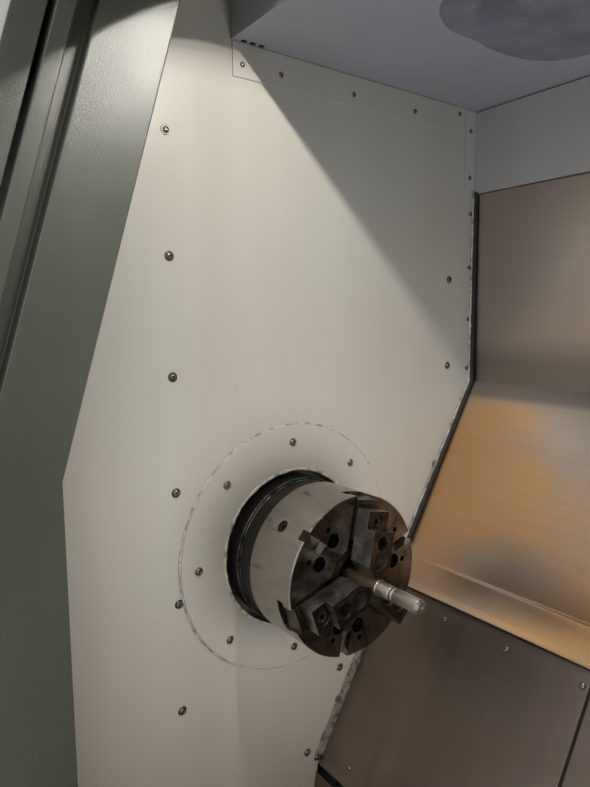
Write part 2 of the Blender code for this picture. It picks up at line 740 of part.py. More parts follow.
def drive_belt(datum):
    """The endless belt round both pulleys, from the tangent points of the two circles."""
    away = Vector((MOTOR_Y, MOTOR_Z))
    lean = math.asin((SPINDLE_PULLEY_R - MOTOR_PULLEY_R) / away.length)
    heading = math.atan2(away.y, away.x)
    loops = []
    for extra in (BELT_SEAT, BELT_SEAT + BELT_THICK):
        loop = []
        start = heading + math.pi / 2 - lean
        sweep = math.pi + 2 * lean
        for n in range(17):
            loop.append(Vector(polar(SPINDLE_PULLEY_R + extra, math.degrees(start + sweep * n / 16))))
        sweep = math.pi - 2 * lean
        start = heading - math.pi / 2 + lean
        for n in range(13):
            loop.append(away + Vector(polar(MOTOR_PULLEY_R + extra, math.degrees(start + sweep * n / 12))))
        loops.append(loop)
    x0 = PULLEY_LEFT_X + 0.006
    x1 = PULLEY_LEFT_X + PULLEY_LENGTH - 0.006
    bm = bmesh.new()
    rings = [[bm.verts.new((x, *p)) for p in loop] for loop in loops for x in (x0, x1)]
    inner_left, inner_right, outer_left, outer_right = rings
    count = len(inner_left)
    sides = (
        (inner_left, inner_right), (outer_left, outer_right),
        (inner_left, outer_left), (inner_right, outer_right),
    )
    for a, b in sides:
        for n in range(count):
            m = (n + 1) % count
            bm.faces.new((a[n], a[m], b[m], b[n]))
    bmesh.ops.recalc_face_normals(bm, faces=bm.faces)
    piece("drive_belt", bm, "belt_rubber", datum)


def spindle_motor(datum):
    """The finned motor on the base plate, with its shaft bore and feet."""
    right = MOTOR_LEFT_X + MOTOR_LENGTH
    points = [
        (MOTOR_LEFT_X, 0), (MOTOR_LEFT_X, 0.07), (MOTOR_LEFT_X + 0.02, 0.10),
        (MOTOR_LEFT_X + 0.02, MOTOR_R),
    ]
    pitch = (MOTOR_LENGTH - 0.08) / MOTOR_FINS
    root = MOTOR_R - 0.008
    for n in range(MOTOR_FINS):
        x = MOTOR_LEFT_X + 0.03 + pitch * n
        points += [(x, MOTOR_R), (x, root), (x + pitch / 2, root), (x + pitch / 2, MOTOR_R)]
    points += [(right - 0.03, MOTOR_R), (right, 0.10), (right, 0)]
    centre = (MOTOR_Y, MOTOR_Z)
    feet = [
        block((MOTOR_LEFT_X + 0.04, MOTOR_Y + y - 0.02, BASE_PLATE_TOP + GAP),
              (right - 0.05, MOTOR_Y + y + 0.02, MOTOR_Z - 0.07))
        for y in (-0.075, 0.075)
    ]
    bore = rod((MOTOR_LEFT_X - 0.01, *centre), (MOTOR_LEFT_X + 0.06, *centre), MOTOR_SHAFT_R + GAP)
    piece("spindle_motor", turned(points, 20, centre), "grey_paint", datum, adds=[joined(*feet)], cuts=[bore])
    shaft = stand("motor_axis", (0, *centre), datum)
    pulley = grooved_pulley(MOTOR_PULLEY_R, 0.012)
    bmesh.ops.translate(pulley, vec=(0, *centre), verts=pulley.verts)
    stub = rod((PULLEY_LEFT_X + 0.004, *centre), (MOTOR_LEFT_X + 0.05, *centre), MOTOR_SHAFT_R)
    piece("motor_pulley", pulley, "ground_steel", shaft, adds=[stub], origin=(0, *centre))


def chuck_body(hub):
    """The chuck's hollow body with three T slots, hook pockets, coolant notches and counterbores."""
    floor = CHUCK_FACE_X - COVER_RECESS_DEPTH
    edge = CHUCK_EDGE
    body = turned([
        (CHUCK_BACK_X, TUBE_R + 0.001), (CHUCK_BACK_X, CHUCK_R - edge), (CHUCK_BACK_X + edge, CHUCK_R),
        (CHUCK_FACE_X - edge, CHUCK_R), (CHUCK_FACE_X, CHUCK_R - edge), (CHUCK_FACE_X, COVER_RECESS_R),
        (floor, COVER_RECESS_R), (floor, TUBE_R + 0.004), (CAVITY_FRONT_X, TUBE_R + 0.004),
        (CAVITY_FRONT_X, CAVITY_R), (CAVITY_BACK_X, CAVITY_R), (CAVITY_BACK_X, TUBE_R + 0.001),
    ], 72)
    reach = CHUCK_R + 0.01
    pocket_half = STEM_WIDTH / 2 + POCKET_CLEAR
    necks, feet, pockets, details = [], [], [], []
    for angle in JAW_ANGLES:
        neck = block(
            (SLOT_NECK_X - 0.001, SLOT_START, -SLOT_NECK / 2),
            (CHUCK_FACE_X + 0.01, reach, SLOT_NECK / 2),
        )
        foot = block((SLOT_FOOT_X, SLOT_START - 0.001, -SLOT_FOOT / 2), (SLOT_NECK_X, reach, SLOT_FOOT / 2))
        pocket = block(
            (HOOK_NEAR_X - POCKET_CLEAR - 0.001, CAVITY_R - 0.008, -pocket_half),
            (SLOT_FOOT_X + 0.0005, STEM_OUTER + JAW_STROKE + POCKET_CLEAR, pocket_half),
        )
        necks.append(spun(neck, angle))
        feet.append(spun(foot, angle))
        pockets.append(spun(pocket, angle))
    for angle in JAW_ANGLES:
        between = angle + 60
        notch = block(
            (CHUCK_FACE_X - NOTCH_DEPTH, NOTCH_INNER, -NOTCH_WIDTH / 2),
            (CHUCK_FACE_X + 0.01, CHUCK_R + 0.01, NOTCH_WIDTH / 2),
        )
        details.append(spun(notch, between))
        for side in (-1, 1):
            bolt = polar(CHUCK_BOLT_R, between + side * CHUCK_BOLT_SWEEP)
            pin = polar(CHUCK_PIN_R, between + side * CHUCK_PIN_SWEEP)
            above = CHUCK_FACE_X + 0.01
            bolt_floor = CHUCK_FACE_X - CHUCK_BOLT_HOLE_DEPTH
            details.append(rod((bolt_floor, *bolt), (above, *bolt), CHUCK_BOLT_HOLE_R, 16))
            details.append(rod((CHUCK_FACE_X - NOTCH_DEPTH, *pin), (above, *pin), CHUCK_PIN_HOLE_R, 10))
        plug_x = CHUCK_FACE_X - SIDE_PLUG_BACK
        deep = polar(CHUCK_R - SIDE_PLUG_DEPTH, between)
        details.append(rod((plug_x, *deep), (plug_x, *polar(reach, between)), SIDE_PLUG_R, 12))
    piece(
        "chuck_body", body, "ground_steel", hub,
        cuts=[joined(*necks), joined(*feet), joined(*pockets), joined(*details)],
    )


def chuck_cover(hub):
    """The black ring cover in the middle of the chuck face."""
    back = CHUCK_FACE_X - COVER_RECESS_DEPTH + GAP
    ring = turned([
        (back, THROUGH_R), (back, COVER_RECESS_R - GAP), (back + COVER_THICK, COVER_RECESS_R - GAP),
        (back + COVER_THICK, THROUGH_R + 0.004), (back + COVER_THICK - 0.002, THROUGH_R),
    ], 32)
    piece("chuck_cover", ring, "black_oxide", hub)


def hook_line(x):
    """The radius of the wedge hooks' middle line at x, with the jaws closed on the bar."""
    return HOOK_R - (x - HOOK_MID_X) * JAW_STROKE / PLUNGER_STROKE


def tapered_bar(near, far, half, bottoms, tops):
    """A bmesh bar along X above the axis, with its own bottom and top radius at each end."""
    bm = bmesh.new()
    ends = [
        [bm.verts.new((x, r, s)) for r, s in ((low, -half), (low, half), (high, half), (high, -half))]
        for x, low, high in zip((near, far), bottoms, tops)
    ]
    for ring in ends:
        bm.faces.new(ring)
    for n in range(4):
        m = (n + 1) % 4
        bm.faces.new((ends[0][n], ends[0][m], ends[1][m], ends[1][n]))
    bmesh.ops.recalc_face_normals(bm, faces=bm.faces)
    return bm


def wedge_hook(near, far, spare, top):
    """The head and the neck of one inclined T, grown by the spare, its neck rising to a radius."""
    middles = [hook_line(x) for x in (near, far)]
    half_head = HOOK_HEAD / 2 + spare
    head = tapered_bar(
        near, far, HOOK_WIDTH / 2 + spare,
        [r - half_head for r in middles], [r + half_head for r in middles],
    )
    neck = tapered_bar(near, far, HOOK_NECK / 2 + spare, middles, [top, top])
    return head, neck


def draw_tube(rail):
    """The draw tube and the plunger that it pulls, with an inclined T slot for each jaw."""
    end = SPINDLE_END_X - TUBE_OVERHANG
    outer = CAVITY_R - 2 * GAP
    shoulder = PLUNGER_FRONT_X - PLUNGER_CHAMFER
    tube = turned([
        (end, THROUGH_R), (end, TUBE_R), (PLUNGER_BACK_X, TUBE_R), (PLUNGER_BACK_X, outer),
        (shoulder, outer), (PLUNGER_FRONT_X, outer - PLUNGER_CHAMFER), (PLUNGER_FRONT_X, THROUGH_R),
    ], 28)
    heads, necks = [], []
    for angle in JAW_ANGLES:
        head, neck = wedge_hook(PLUNGER_BACK_X - 0.01, PLUNGER_FRONT_X + 0.01, GAP, CAVITY_R + 0.01)
        heads.append(spun(head, angle))
        necks.append(spun(neck, angle))
    piece("draw_tube", tube, "ground_steel", rail, cuts=[joined(*heads), joined(*necks)])


def master_jaw(number, angle, rail):
    """The T-shaped jaw that slides in the chuck body, serrated on top and hooked to the plunger."""
    neck = SLOT_NECK / 2 - GAP
    foot = SLOT_FOOT / 2 - GAP
    low = SLOT_FOOT_X + GAP
    shoulder = SLOT_NECK_X - 0.001 - GAP
    bm = bmesh.new()
    section = [
        (low, -foot), (shoulder, -foot), (shoulder, -neck), (MASTER_TOP_X, -neck),
        (MASTER_TOP_X, neck), (shoulder, neck), (shoulder, foot), (low, foot),
    ]
    ring = [bm.verts.new((x, MASTER_INNER, s)) for x, s in section]
    face = bm.faces.new(ring)
    made = bmesh.ops.extrude_face_region(bm, geom=[face])
    moved = [v for v in made["geom"] if isinstance(v, bmesh.types.BMVert)]
    bmesh.ops.translate(bm, verts=moved, vec=(0, MASTER_OUTER - MASTER_INNER, 0))
    bmesh.ops.recalc_face_normals(bm, faces=bm.faces)
    grooves = [
        block((MASTER_TOP_X - 0.0012, r, -foot - 0.01), (MASTER_TOP_X + 0.01, r + 0.0035, foot + 0.01))
        for r in (TOP_JAW_OUTER + 0.001, TOP_JAW_OUTER + 0.0055)
    ]
    stem = block(
        (HOOK_NEAR_X - 0.001, STEM_INNER, -STEM_WIDTH / 2),
        (low + 0.003, STEM_OUTER, STEM_WIDTH / 2),
    )
    head, arm = wedge_hook(HOOK_NEAR_X, HOOK_FAR_X, 0.0, STEM_INNER + 0.001)
    piece(
        f"master_jaw_{number}", spun(bm, angle), "oiled_steel", rail,
        adds=[spun(stem, angle), spun(arm, angle), spun(head, angle)],
        cuts=[spun(joined(*grooves), angle)],
    )


def top_jaw(number, angle, rail):
    """The stepped jaw bolted on a master jaw; its nose is hollowed to the bar."""
    half = TOP_JAW_WIDTH / 2
    base = MASTER_TOP_X + GAP
    tip = BAR_R + GAP
    plan = [
        (tip - 0.001, -NOSE_HALF_WIDTH), (tip - 0.001, NOSE_HALF_WIDTH), (TOP_JAW_INNER, half),
        (TOP_JAW_OUTER, half), (TOP_JAW_OUTER, -half), (TOP_JAW_INNER, -half),
    ]
    bm = bmesh.new()
    ring = [bm.verts.new((base, r, s)) for r, s in plan]
    face = bm.faces.new(ring)
    made = bmesh.ops.extrude_face_region(bm, geom=[face])
    moved = [v for v in made["geom"] if isinstance(v, bmesh.types.BMVert)]
    bmesh.ops.translate(bm, verts=moved, vec=(TOP_JAW_HIGH_X - base, 0, 0))
    bmesh.ops.recalc_face_normals(bm, faces=bm.faces)
    above = TOP_JAW_HIGH_X + 0.01
    step = block((TOP_JAW_LOW_X, TOP_JAW_STEP, -half - 0.01), (above, TOP_JAW_OUTER + 0.01, half + 0.01))
    grip = rod((base - 0.01, 0, 0), (above, 0, 0), tip, 32)
    seat = base + JAW_BOLT_SEAT
    bolts = [rod((seat, r, 0), (above, r, 0), JAW_BOLT_R, 20) for r in JAW_BOLT_RADII]
    scallop = rod((TOP_JAW_HIGH_X - 0.008, SCALLOP_AT, 0), (above, SCALLOP_AT, 0), SCALLOP_R, 24)
    piece(
        f"top_jaw_{number}", spun(bm, angle), "oiled_steel", rail,
        cuts=[spun(joined(step, grip), angle), spun(joined(*bolts, scallop), angle)],
    )


def workpiece_bar(hub):
    """The held bar: raw stock behind, turned with two grooves and a centred, chamfered end in front."""
    groove = 0.0005
    root = TURNED_R - groove
    profile = [(BAR_BACK_X, 0), (BAR_BACK_X, BAR_R), (TURNED_X - 0.001, BAR_R), (TURNED_X, TURNED_R)]
    for x in (TURNED_X + 0.020, TURNED_X + 0.026):
        profile += [(x, TURNED_R), (x + groove, root), (x + 3 * groove, root), (x + 4 * groove, TURNED_R)]
    profile += [
        (BAR_END_X - 0.003, TURNED_R), (BAR_END_X, TURNED_R - 0.003), (BAR_END_X, 0.0020),
        (BAR_END_X - 0.003, 0.0008), (BAR_END_X - 0.005, 0),
    ]
    piece("workpiece_bar", turned(profile, 24), "turned_bar", hub)


def chamber_outline(inset):
    """The YZ outline of the chamber's end walls, from the front edge round by the slanted covers."""
    off = POST_DEPTH / 2
    back = COVER_TOP_Y - inset
    d = COVER_D - inset
    corner_t = (back - d * math.sin(SLANT)) / math.cos(SLANT)
    foot = CHUTE_FLOOR_Z + 0.02
    top = TOP_SHEET_Z - GAP
    return [
        (front(off, foot), foot), kink(off), (front(off, top), top),
        (back, top), slope(corner_t, d), slope(WAY_COVER_FOOT_T, d),
        (0.020, foot),
    ]


def end_walls(datum):
    """The headstock wall with its spindle hole, its ring cover, and the tail wall."""
    hole = rod((-0.02, 0, 0), (0.02, 0, 0), WALL_HOLE_R, 64)
    piece(
        "headstock_wall", prism(chamber_outline(-0.004), -WALL_THICK, 0.0), "wall_paint", datum,
        cuts=[hole],
    )
    ring = turned([
        (GAP, RING_INNER_R), (GAP, RING_OUTER_R), (GAP + RING_THICK - 0.001, RING_OUTER_R),
        (GAP + RING_THICK, RING_OUTER_R - 0.001), (GAP + RING_THICK, RING_INNER_R),
    ], 72)
    piece("spindle_ring_cover", ring, "wall_paint", datum)
    tail = prism(chamber_outline(0.001), CHAMBER_LENGTH, CHAMBER_LENGTH + WALL_THICK)
    piece("tail_wall", tail, "wall_paint", datum)


def chamber_sheets(datum):
    """Roof, rear header, slanted rear cover and chip chute, each a folded sheet along X."""
    x0 = GAP
    x1 = CHAMBER_LENGTH - GAP
    roof_back = COVER_TOP_Y + 0.006
    roof = strip([
        (ROOF_FRONT_Y, TOP_SHEET_Z - 0.010), (ROOF_FRONT_Y, ROOF_Z), (roof_back, ROOF_Z),
        (roof_back, TOP_SHEET_Z - GAP),
    ], SHEET)
    piece("roof_panel", prism(roof, x0, x1), "grey_paint", datum)
    header = strip([
        (COVER_TOP_Y + 0.030, HEADER_FOOT_Z), (COVER_TOP_Y, HEADER_FOOT_Z),
        (COVER_TOP_Y, ROOF_Z - GAP - 0.002),
    ], -SHEET)
    piece("rear_header", prism(header, x0, x1), "wall_paint", datum)
    corner_t = (COVER_TOP_Y - COVER_D * math.sin(SLANT)) / math.cos(SLANT)
    corner = slope(corner_t, COVER_D)
    proud = COVER_D - 0.003
    cover = strip([
        (COVER_TOP_Y, HEADER_FOOT_Z - SHEET - 2 * GAP), corner,
        slope(COVER_LIP_T + LIP_BAND + 0.004, COVER_D), slope(COVER_LIP_T + LIP_BAND, proud),
        slope(COVER_LIP_T, proud), slope(COVER_LIP_T - LIP_DROP, proud - LIP_KICK),
    ], SHEET)
    piece("slant_cover", prism(cover, x0, x1), "stainless", datum)
    chute_front = front(0.03, SILL_Z)
    chute = strip([
        slope(WAY_COVER_FOOT_T - 0.012, COVER_D + 0.009), (0.010, CHUTE_FLOOR_Z),
        (chute_front, CHUTE_FLOOR_Z), (chute_front, SILL_Z - SKIN - 3 * GAP),
    ], -SHEET)
    slot = block(
        (CHUTE_END_MARGIN, CHUTE_SLOT_NEAR_Y, CHUTE_FLOOR_Z - 0.05),
        (CHAMBER_LENGTH - CHUTE_END_MARGIN, CHUTE_SLOT_FAR_Y, CHUTE_FLOOR_Z + 0.05),
    )
    piece("chip_chute", prism(chute, x0, x1), "dull_steel", datum, cuts=[slot])


def way_covers(datum, carriage):
    """The fixed way cover with its folded edge and the one that travels with the saddle under it."""
    edge_x = FIXED_COVER_LENGTH
    fold = 0.0015
    hem_d = WAY_COVER_D + WAY_COVER_HEM
    fixed = sheet_on_slope([
        (GAP, WAY_COVER_D), (edge_x - fold, WAY_COVER_D), (edge_x, WAY_COVER_D + fold),
        (edge_x, hem_d), (edge_x - SHEET, hem_d), (edge_x - SHEET, WAY_COVER_D + SHEET),
        (GAP, WAY_COVER_D + SHEET),
    ], WAY_COVER_FOOT_T, WAY_COVER_TOP_T)
    piece("way_cover_fixed", fixed, "dull_steel", datum)
    flange = 0.018
    foot_t = WAY_COVER_FOOT_T + 0.004
    top_t = WAY_COVER_TOP_T - 0.004
    moving = strip([
        slope(foot_t, MOVING_COVER_D + flange), slope(foot_t, MOVING_COVER_D),
        slope(top_t, MOVING_COVER_D), slope(top_t, MOVING_COVER_D + flange),
    ], -SHEET)
    left = FIXED_COVER_LENGTH - WAY_COVER_LAP
    piece("way_cover_moving", prism(moving, left, SADDLE_LEFT_X - GAP), "dull_steel", carriage)


def carriage_group(datum):
    """Saddle, cross slide and turret, each hung on its own joint's empty."""
    carriage = stand("carriage_line", (0, 0, 0), datum)
    way_covers(datum, carriage)
    saddle(carriage)
    ball_screw(datum)
    slide_line = stand("cross_slide_line", (0, 0, 0), carriage)
    cross_slide(slide_line)
    turret(slide_line)


def saddle(carriage):
    """The cast saddle: a foot on the box ways and an arm in front of the slanted cover."""
    right = SADDLE_LEFT_X + SADDLE_LENGTH
    seat = WAY_D - GAP
    outline = [
        slope(SADDLE_FOOT_T, SADDLE_FACE_D), slope(SADDLE_HEAD_T, SADDLE_FACE_D),
        slope(SADDLE_HEAD_T - 0.02, SADDLE_BACK_D), slope(SADDLE_NECK_T, SADDLE_BACK_D),
        slope(SADDLE_NECK_T, seat), slope(SADDLE_FOOT_T, seat),
    ]
    screw_run = block_on_slope(
        SADDLE_LEFT_X - 0.01, right + 0.01, SCREW_T - 0.022, SCREW_T + 0.022, SCREW_D - 0.022, seat + 0.01,
    )
    guide = block_on_slope(
        SADDLE_LEFT_X + GUIDE_INSET, right - GUIDE_INSET, GUIDE_FOOT_T, SADDLE_HEAD_T + 0.02,
        SADDLE_FACE_D - 0.01, SADDLE_FACE_D + GUIDE_DEPTH,
    )
    tail_run = [slope(SADDLE_FOOT_T + 0.006, MOVING_COVER_D), slope(SADDLE_NECK_T - 0.006, MOVING_COVER_D)]
    tail = prism(strip(tail_run, -SHEET), right - 0.01, RIGHT_X - SKIN - 0.02)
    piece(
        "saddle", prism(outline, SADDLE_LEFT_X, right), "casting_paint", carriage,
        adds=[tail], cuts=[screw_run, guide],
    )


def ball_screw(datum):
    """The ball screw between the box ways, held in the two bearing blocks of the bed."""
    centre = slope(SCREW_T, SCREW_D)
    axis = stand("ball_screw_axis", (0, *centre), datum)
    shape = turned([
        (SCREW_LEFT_X, 0), (SCREW_LEFT_X, SCREW_R), (SCREW_RIGHT_X, SCREW_R), (SCREW_RIGHT_X, 0.012),
        (SCREW_RIGHT_X + 0.03, 0.012), (SCREW_RIGHT_X + 0.03, 0),
    ], 20, centre)
    piece("ball_screw", shape, "ground_steel", axis, origin=(0, *centre))


def cross_slide(line):
    """The slide that carries the turret, keyed into the saddle's guide."""
    x0 = SADDLE_LEFT_X + 0.02
    x1 = SADDLE_LEFT_X + SADDLE_LENGTH - 0.02
    face = SADDLE_FACE_D - GAP
    low = TURRET_T - SLIDE_LOW
    high = TURRET_T + SLIDE_HIGH
    outline = [
        slope(low, SLIDE_FACE_D + 0.015), slope(low + 0.03, SLIDE_FACE_D), slope(high, SLIDE_FACE_D),
        slope(high, face), slope(low, face),
    ]
    key = block_on_slope(
        SADDLE_LEFT_X + GUIDE_INSET + GAP, SADDLE_LEFT_X + SADDLE_LENGTH - GUIDE_INSET - GAP,
        low + 0.02, high - 0.09, face - 0.01, SADDLE_FACE_D + GUIDE_DEPTH - GAP,
    )
    piece("cross_slide", prism(outline, x0, x1), "ground_steel", line, adds=[key])


def turret(line):
    """The turret housing on the cross slide and the indexing disc with its tools."""
    centre = slope(TURRET_T, 0)
    left = DISC_X + DISC_THICK + GAP
    seat = SLIDE_FACE_D - GAP
    arc = [
        slope(TURRET_T + HOUSING_R * math.cos(a), -HOUSING_R * math.sin(a))
        for a in (math.pi * n / 16 for n in range(17))
    ]
    outline = [slope(TURRET_T - HOUSING_R, seat), slope(TURRET_T + HOUSING_R, seat)] + arc
    piece("turret_housing", prism(outline, left, left + HOUSING_LENGTH), "casting_paint", line, bevel=0.006)
    hub = stand("turret_axis", (0, *centre), line)
    sweep = 180 / STATIONS - STATION_CORNER
    corner_r = DISC_FLAT_R / math.cos(math.radians(sweep))
    rim = [
        Vector(centre) + Vector(polar(corner_r, station_angle(n) + side * sweep))
        for n in range(STATIONS) for side in (-1, 1)
    ]
    disc = prism([tuple(p) for p in rim], DISC_X, DISC_X + DISC_THICK)
    slots = []
    for n in TOOLED_STATIONS:
        slot = block(
            (DISC_X - 0.01, 0.062, -SHANK / 2 - 0.008),
            (DISC_X + SHANK, DISC_FLAT_R + 0.03, SHANK / 2 + 0.001),
        )
        bmesh.ops.translate(slot, vec=(0, *centre), verts=slot.verts)
        slots.append(spun(slot, station_angle(n), centre))
    boss_front = DISC_X - 0.012
    boss_back = DISC_X + 0.010
    boss = turned([(boss_front, 0), (boss_front, 0.045), (boss_back, 0.050), (boss_back, 0)], 32, centre)
    fixed_tools = [shank_tool(n, centre, GAP * -2) for n in TOOLED_STATIONS[2:]]
    piece(
        "turret_disc", disc, "ground_steel", hub,
        cuts=[joined(*slots)], adds=[boss, joined(*fixed_tools)], origin=(0, *centre),
    )
    piece("turning_tool", shank_tool(0, centre, GAP), "black_oxide", hub, origin=(0, *centre))
    boring_bar("boring_bar", 1, centre, hub)


def station_angle(number):
    """The angle of one turret station, the first pointing down the slant at the spindle."""
    return math.degrees(SLANT) + 180 + 360 * number / STATIONS


def shank_tool(number, centre, clear):
    """A square-shank tool with its wedge, lying in one slot of the disc and reaching past the rim."""
    side = SHANK / 2
    floor = DISC_X + SHANK - clear
    inner = 0.0625 if clear > 0 else 0.058
    near = -side - 0.0077
    far = side + 0.001 - clear
    outline = [
        (inner, near), (inner, far), (TOOL_REACH - 0.012, far), (TOOL_REACH, side - 0.004),
        (TOOL_REACH - 0.006, side - 0.012), (TOOL_REACH - 0.030, -side + 0.002),
        (DISC_FLAT_R - 0.01, -side + 0.002), (DISC_FLAT_R - 0.01, near),
    ]
    bm = bmesh.new()
    face = bm.faces.new([bm.verts.new((DISC_X + 0.001, r, s)) for r, s in outline])
    made = bmesh.ops.extrude_face_region(bm, geom=[face])
    moved = [v for v in made["geom"] if isinstance(v, bmesh.types.BMVert)]
    bmesh.ops.translate(bm, verts=moved, vec=(floor - DISC_X - 0.001, 0, 0))
    bmesh.ops.recalc_face_normals(bm, faces=bm.faces)
    bmesh.ops.translate(bm, vec=(0, *centre), verts=bm.verts)
    return spun(bm, station_angle(number), centre)


def boring_bar(name, number, centre, hub):
    """A bolt-on holder in a slot of the disc with a boring bar that points at the chuck."""
    side = SHANK / 2
    holder = block((DISC_X - 0.040, 0.064, -0.026), (DISC_X - GAP, 0.120, 0.026))
    key = block((DISC_X - 0.010, 0.066, -side - 0.007), (DISC_X + SHANK - GAP, 0.118, side))
    bar = rod((DISC_X - 0.098, 0.092, 0), (DISC_X - 0.030, 0.092, 0), 0.0125, 20)
    shapes = [holder, key, bar]
    for shape in shapes:
        bmesh.ops.translate(shape, vec=(0, *centre), verts=shape.verts)
        spun(shape, station_angle(number), centre)
    piece(name, holder, "black_oxide", hub, adds=[key, bar], origin=(0, *centre))


def posts_and_front(datum):
    """Door posts with their labyrinth channel, header, apron and the two front covers."""
    for name, left, channel_side in (("left_post", POST_X - POST_WIDTH, 1), ("right_post", RIGHT_POST_X, -1)):
        right = left + POST_WIDTH
        body = prism(front_band(0.0, POST_DEPTH, SILL_Z + GAP, TOP_SHEET_Z - GAP), left, right)
        edge = right if channel_side > 0 else left
        inner, outer = sorted((edge - channel_side * CHANNEL_DEPTH, edge + channel_side * 0.01))
        channel = front_band(CHANNEL_NEAR, CHANNEL_FAR, SILL_Z - 0.02, TOP_SHEET_Z + 0.02)
        piece(name, body, "sage_paint", datum, cuts=[prism(channel, inner, outer)])
    left_run = (LEFT_X + SKIN + GAP, POST_X - POST_WIDTH - GAP)
    right_run = (RIGHT_POST_X + POST_WIDTH + GAP, RIGHT_X - SKIN - GAP)
    for name, run in (("headstock_cover", left_run), ("control_cover", right_run)):
        sheet = prism(front_band(SKIN_NEAR, POST_DEPTH, SILL_Z + GAP, TOP_SHEET_Z - GAP), *run)
        piece(name, sheet, "beige_paint", datum)
    lip = front(DOOR_NEAR + DOOR_THICK + 0.002, DOOR_TOP_Z + 0.005)
    fascia = front_band(POST_DEPTH + GAP, FASCIA_FAR, HEADER_Z, TOP_SHEET_Z - GAP)
    guide_z = DOOR_TOP_Z + GAP
    guide_top = guide_z + 0.004
    guide = [
        (front(POST_DEPTH + 0.001, guide_z), guide_z),
        (front(POST_DEPTH + 0.001, guide_top), guide_top),
        (lip, guide_top), (lip, guide_z),
    ]
    run = (LEFT_X + SKIN + GAP, RIGHT_X - SKIN - GAP)
    door_run = (run[0], DOOR_RIGHT_X + DOOR_TRAVEL + 0.02)
    piece("front_header", prism(fascia, *run), "sage_paint", datum, adds=[prism(guide, *door_run)])
    outer = front(SKIN_NEAR + SKIN, SILL_Z)
    track = front(DOOR_NEAR + DOOR_THICK, SILL_Z)
    track_z = DOOR_FOOT_Z - GAP
    apron = [(outer + SKIN, SKIN_FOOT_Z), (outer + SKIN, SILL_Z), (outer, SILL_Z), (outer, SKIN_FOOT_Z)]
    rail = prism([
        (outer + SKIN / 2, track_z), (track, track_z), (track, track_z - 0.004),
        (outer + SKIN / 2, track_z - 0.016),
    ], *door_run)
    sill_y = front(0.0, SILL_Z)
    sill = block(
        (POST_X - POST_WIDTH, outer + SKIN / 2, SILL_Z - SKIN),
        (RIGHT_POST_X + POST_WIDTH, sill_y, SILL_Z),
    )
    piece("front_apron", prism(apron, *run), "beige_paint", datum, adds=[sill, rail])


def outer_covers(datum):
    """The end covers, the top cover and the louvred rear cover."""
    top = TOP_SHEET_Z - GAP
    side = [
        (front(SKIN_NEAR, SKIN_FOOT_Z), SKIN_FOOT_Z), kink(SKIN_NEAR),
        (front(SKIN_NEAR, top), top), (CASE_BACK_Y, top), (CASE_BACK_Y, SKIN_FOOT_Z),
    ]
    bar_hole = rod((LEFT_X - 0.02, 0, 0), (LEFT_X + 0.02, 0, 0), BAR_HOLE_R, 32)
    slits = louvres((LEFT_X - 0.02, CASE_BACK_Y - 0.73), (LEFT_X + 0.02, CASE_BACK_Y - 0.43), LOUVRE_FOOT_Z)
    piece(
        "left_end_cover", prism(side, LEFT_X, LEFT_X + SKIN), "beige_paint", datum,
        cuts=[joined(bar_hole, *slits)],
    )
    slits = louvres((RIGHT_X - 0.02, CASE_BACK_Y - 0.31), (RIGHT_X + 0.02, CASE_BACK_Y - 0.07), LOUVRE_FOOT_Z)
    piece(
        "right_end_cover", prism(side, RIGHT_X - SKIN, RIGHT_X), "beige_paint", datum,
        cuts=[joined(*slits)],
    )
    brow = front(POST_DEPTH, TOP_SHEET_Z)
    lid = [(brow, TOP_SHEET_Z), (brow, TOP_Z), (CASE_BACK_Y, TOP_Z), (CASE_BACK_Y, TOP_SHEET_Z)]
    piece("top_cover", prism(lid, LEFT_X, RIGHT_X), "beige_paint", datum)
    slits = louvres(
        (LEFT_X + 0.20, CASE_BACK_Y - 0.02), (CABINET_LEFT_X - 0.20, CASE_BACK_Y + 0.02), REAR_LOUVRE_FOOT_Z,
    )
    rear = block(
        (LEFT_X + SKIN + GAP, CASE_BACK_Y - SKIN, SKIN_FOOT_Z + 0.06),
        (CABINET_LEFT_X - GAP, CASE_BACK_Y, top),
    )
    piece("rear_cover", rear, "beige_paint", datum, cuts=[joined(*slits)])


def louvres(near, far, foot):
    """Cutters for a stack of level slits between two (x, y) corners, from a foot height up."""
    return [
        block((*near, foot + LOUVRE_PITCH * n), (*far, foot + LOUVRE_PITCH * n + LOUVRE_HEIGHT))
        for n in range(LOUVRE_COUNT)
    ]


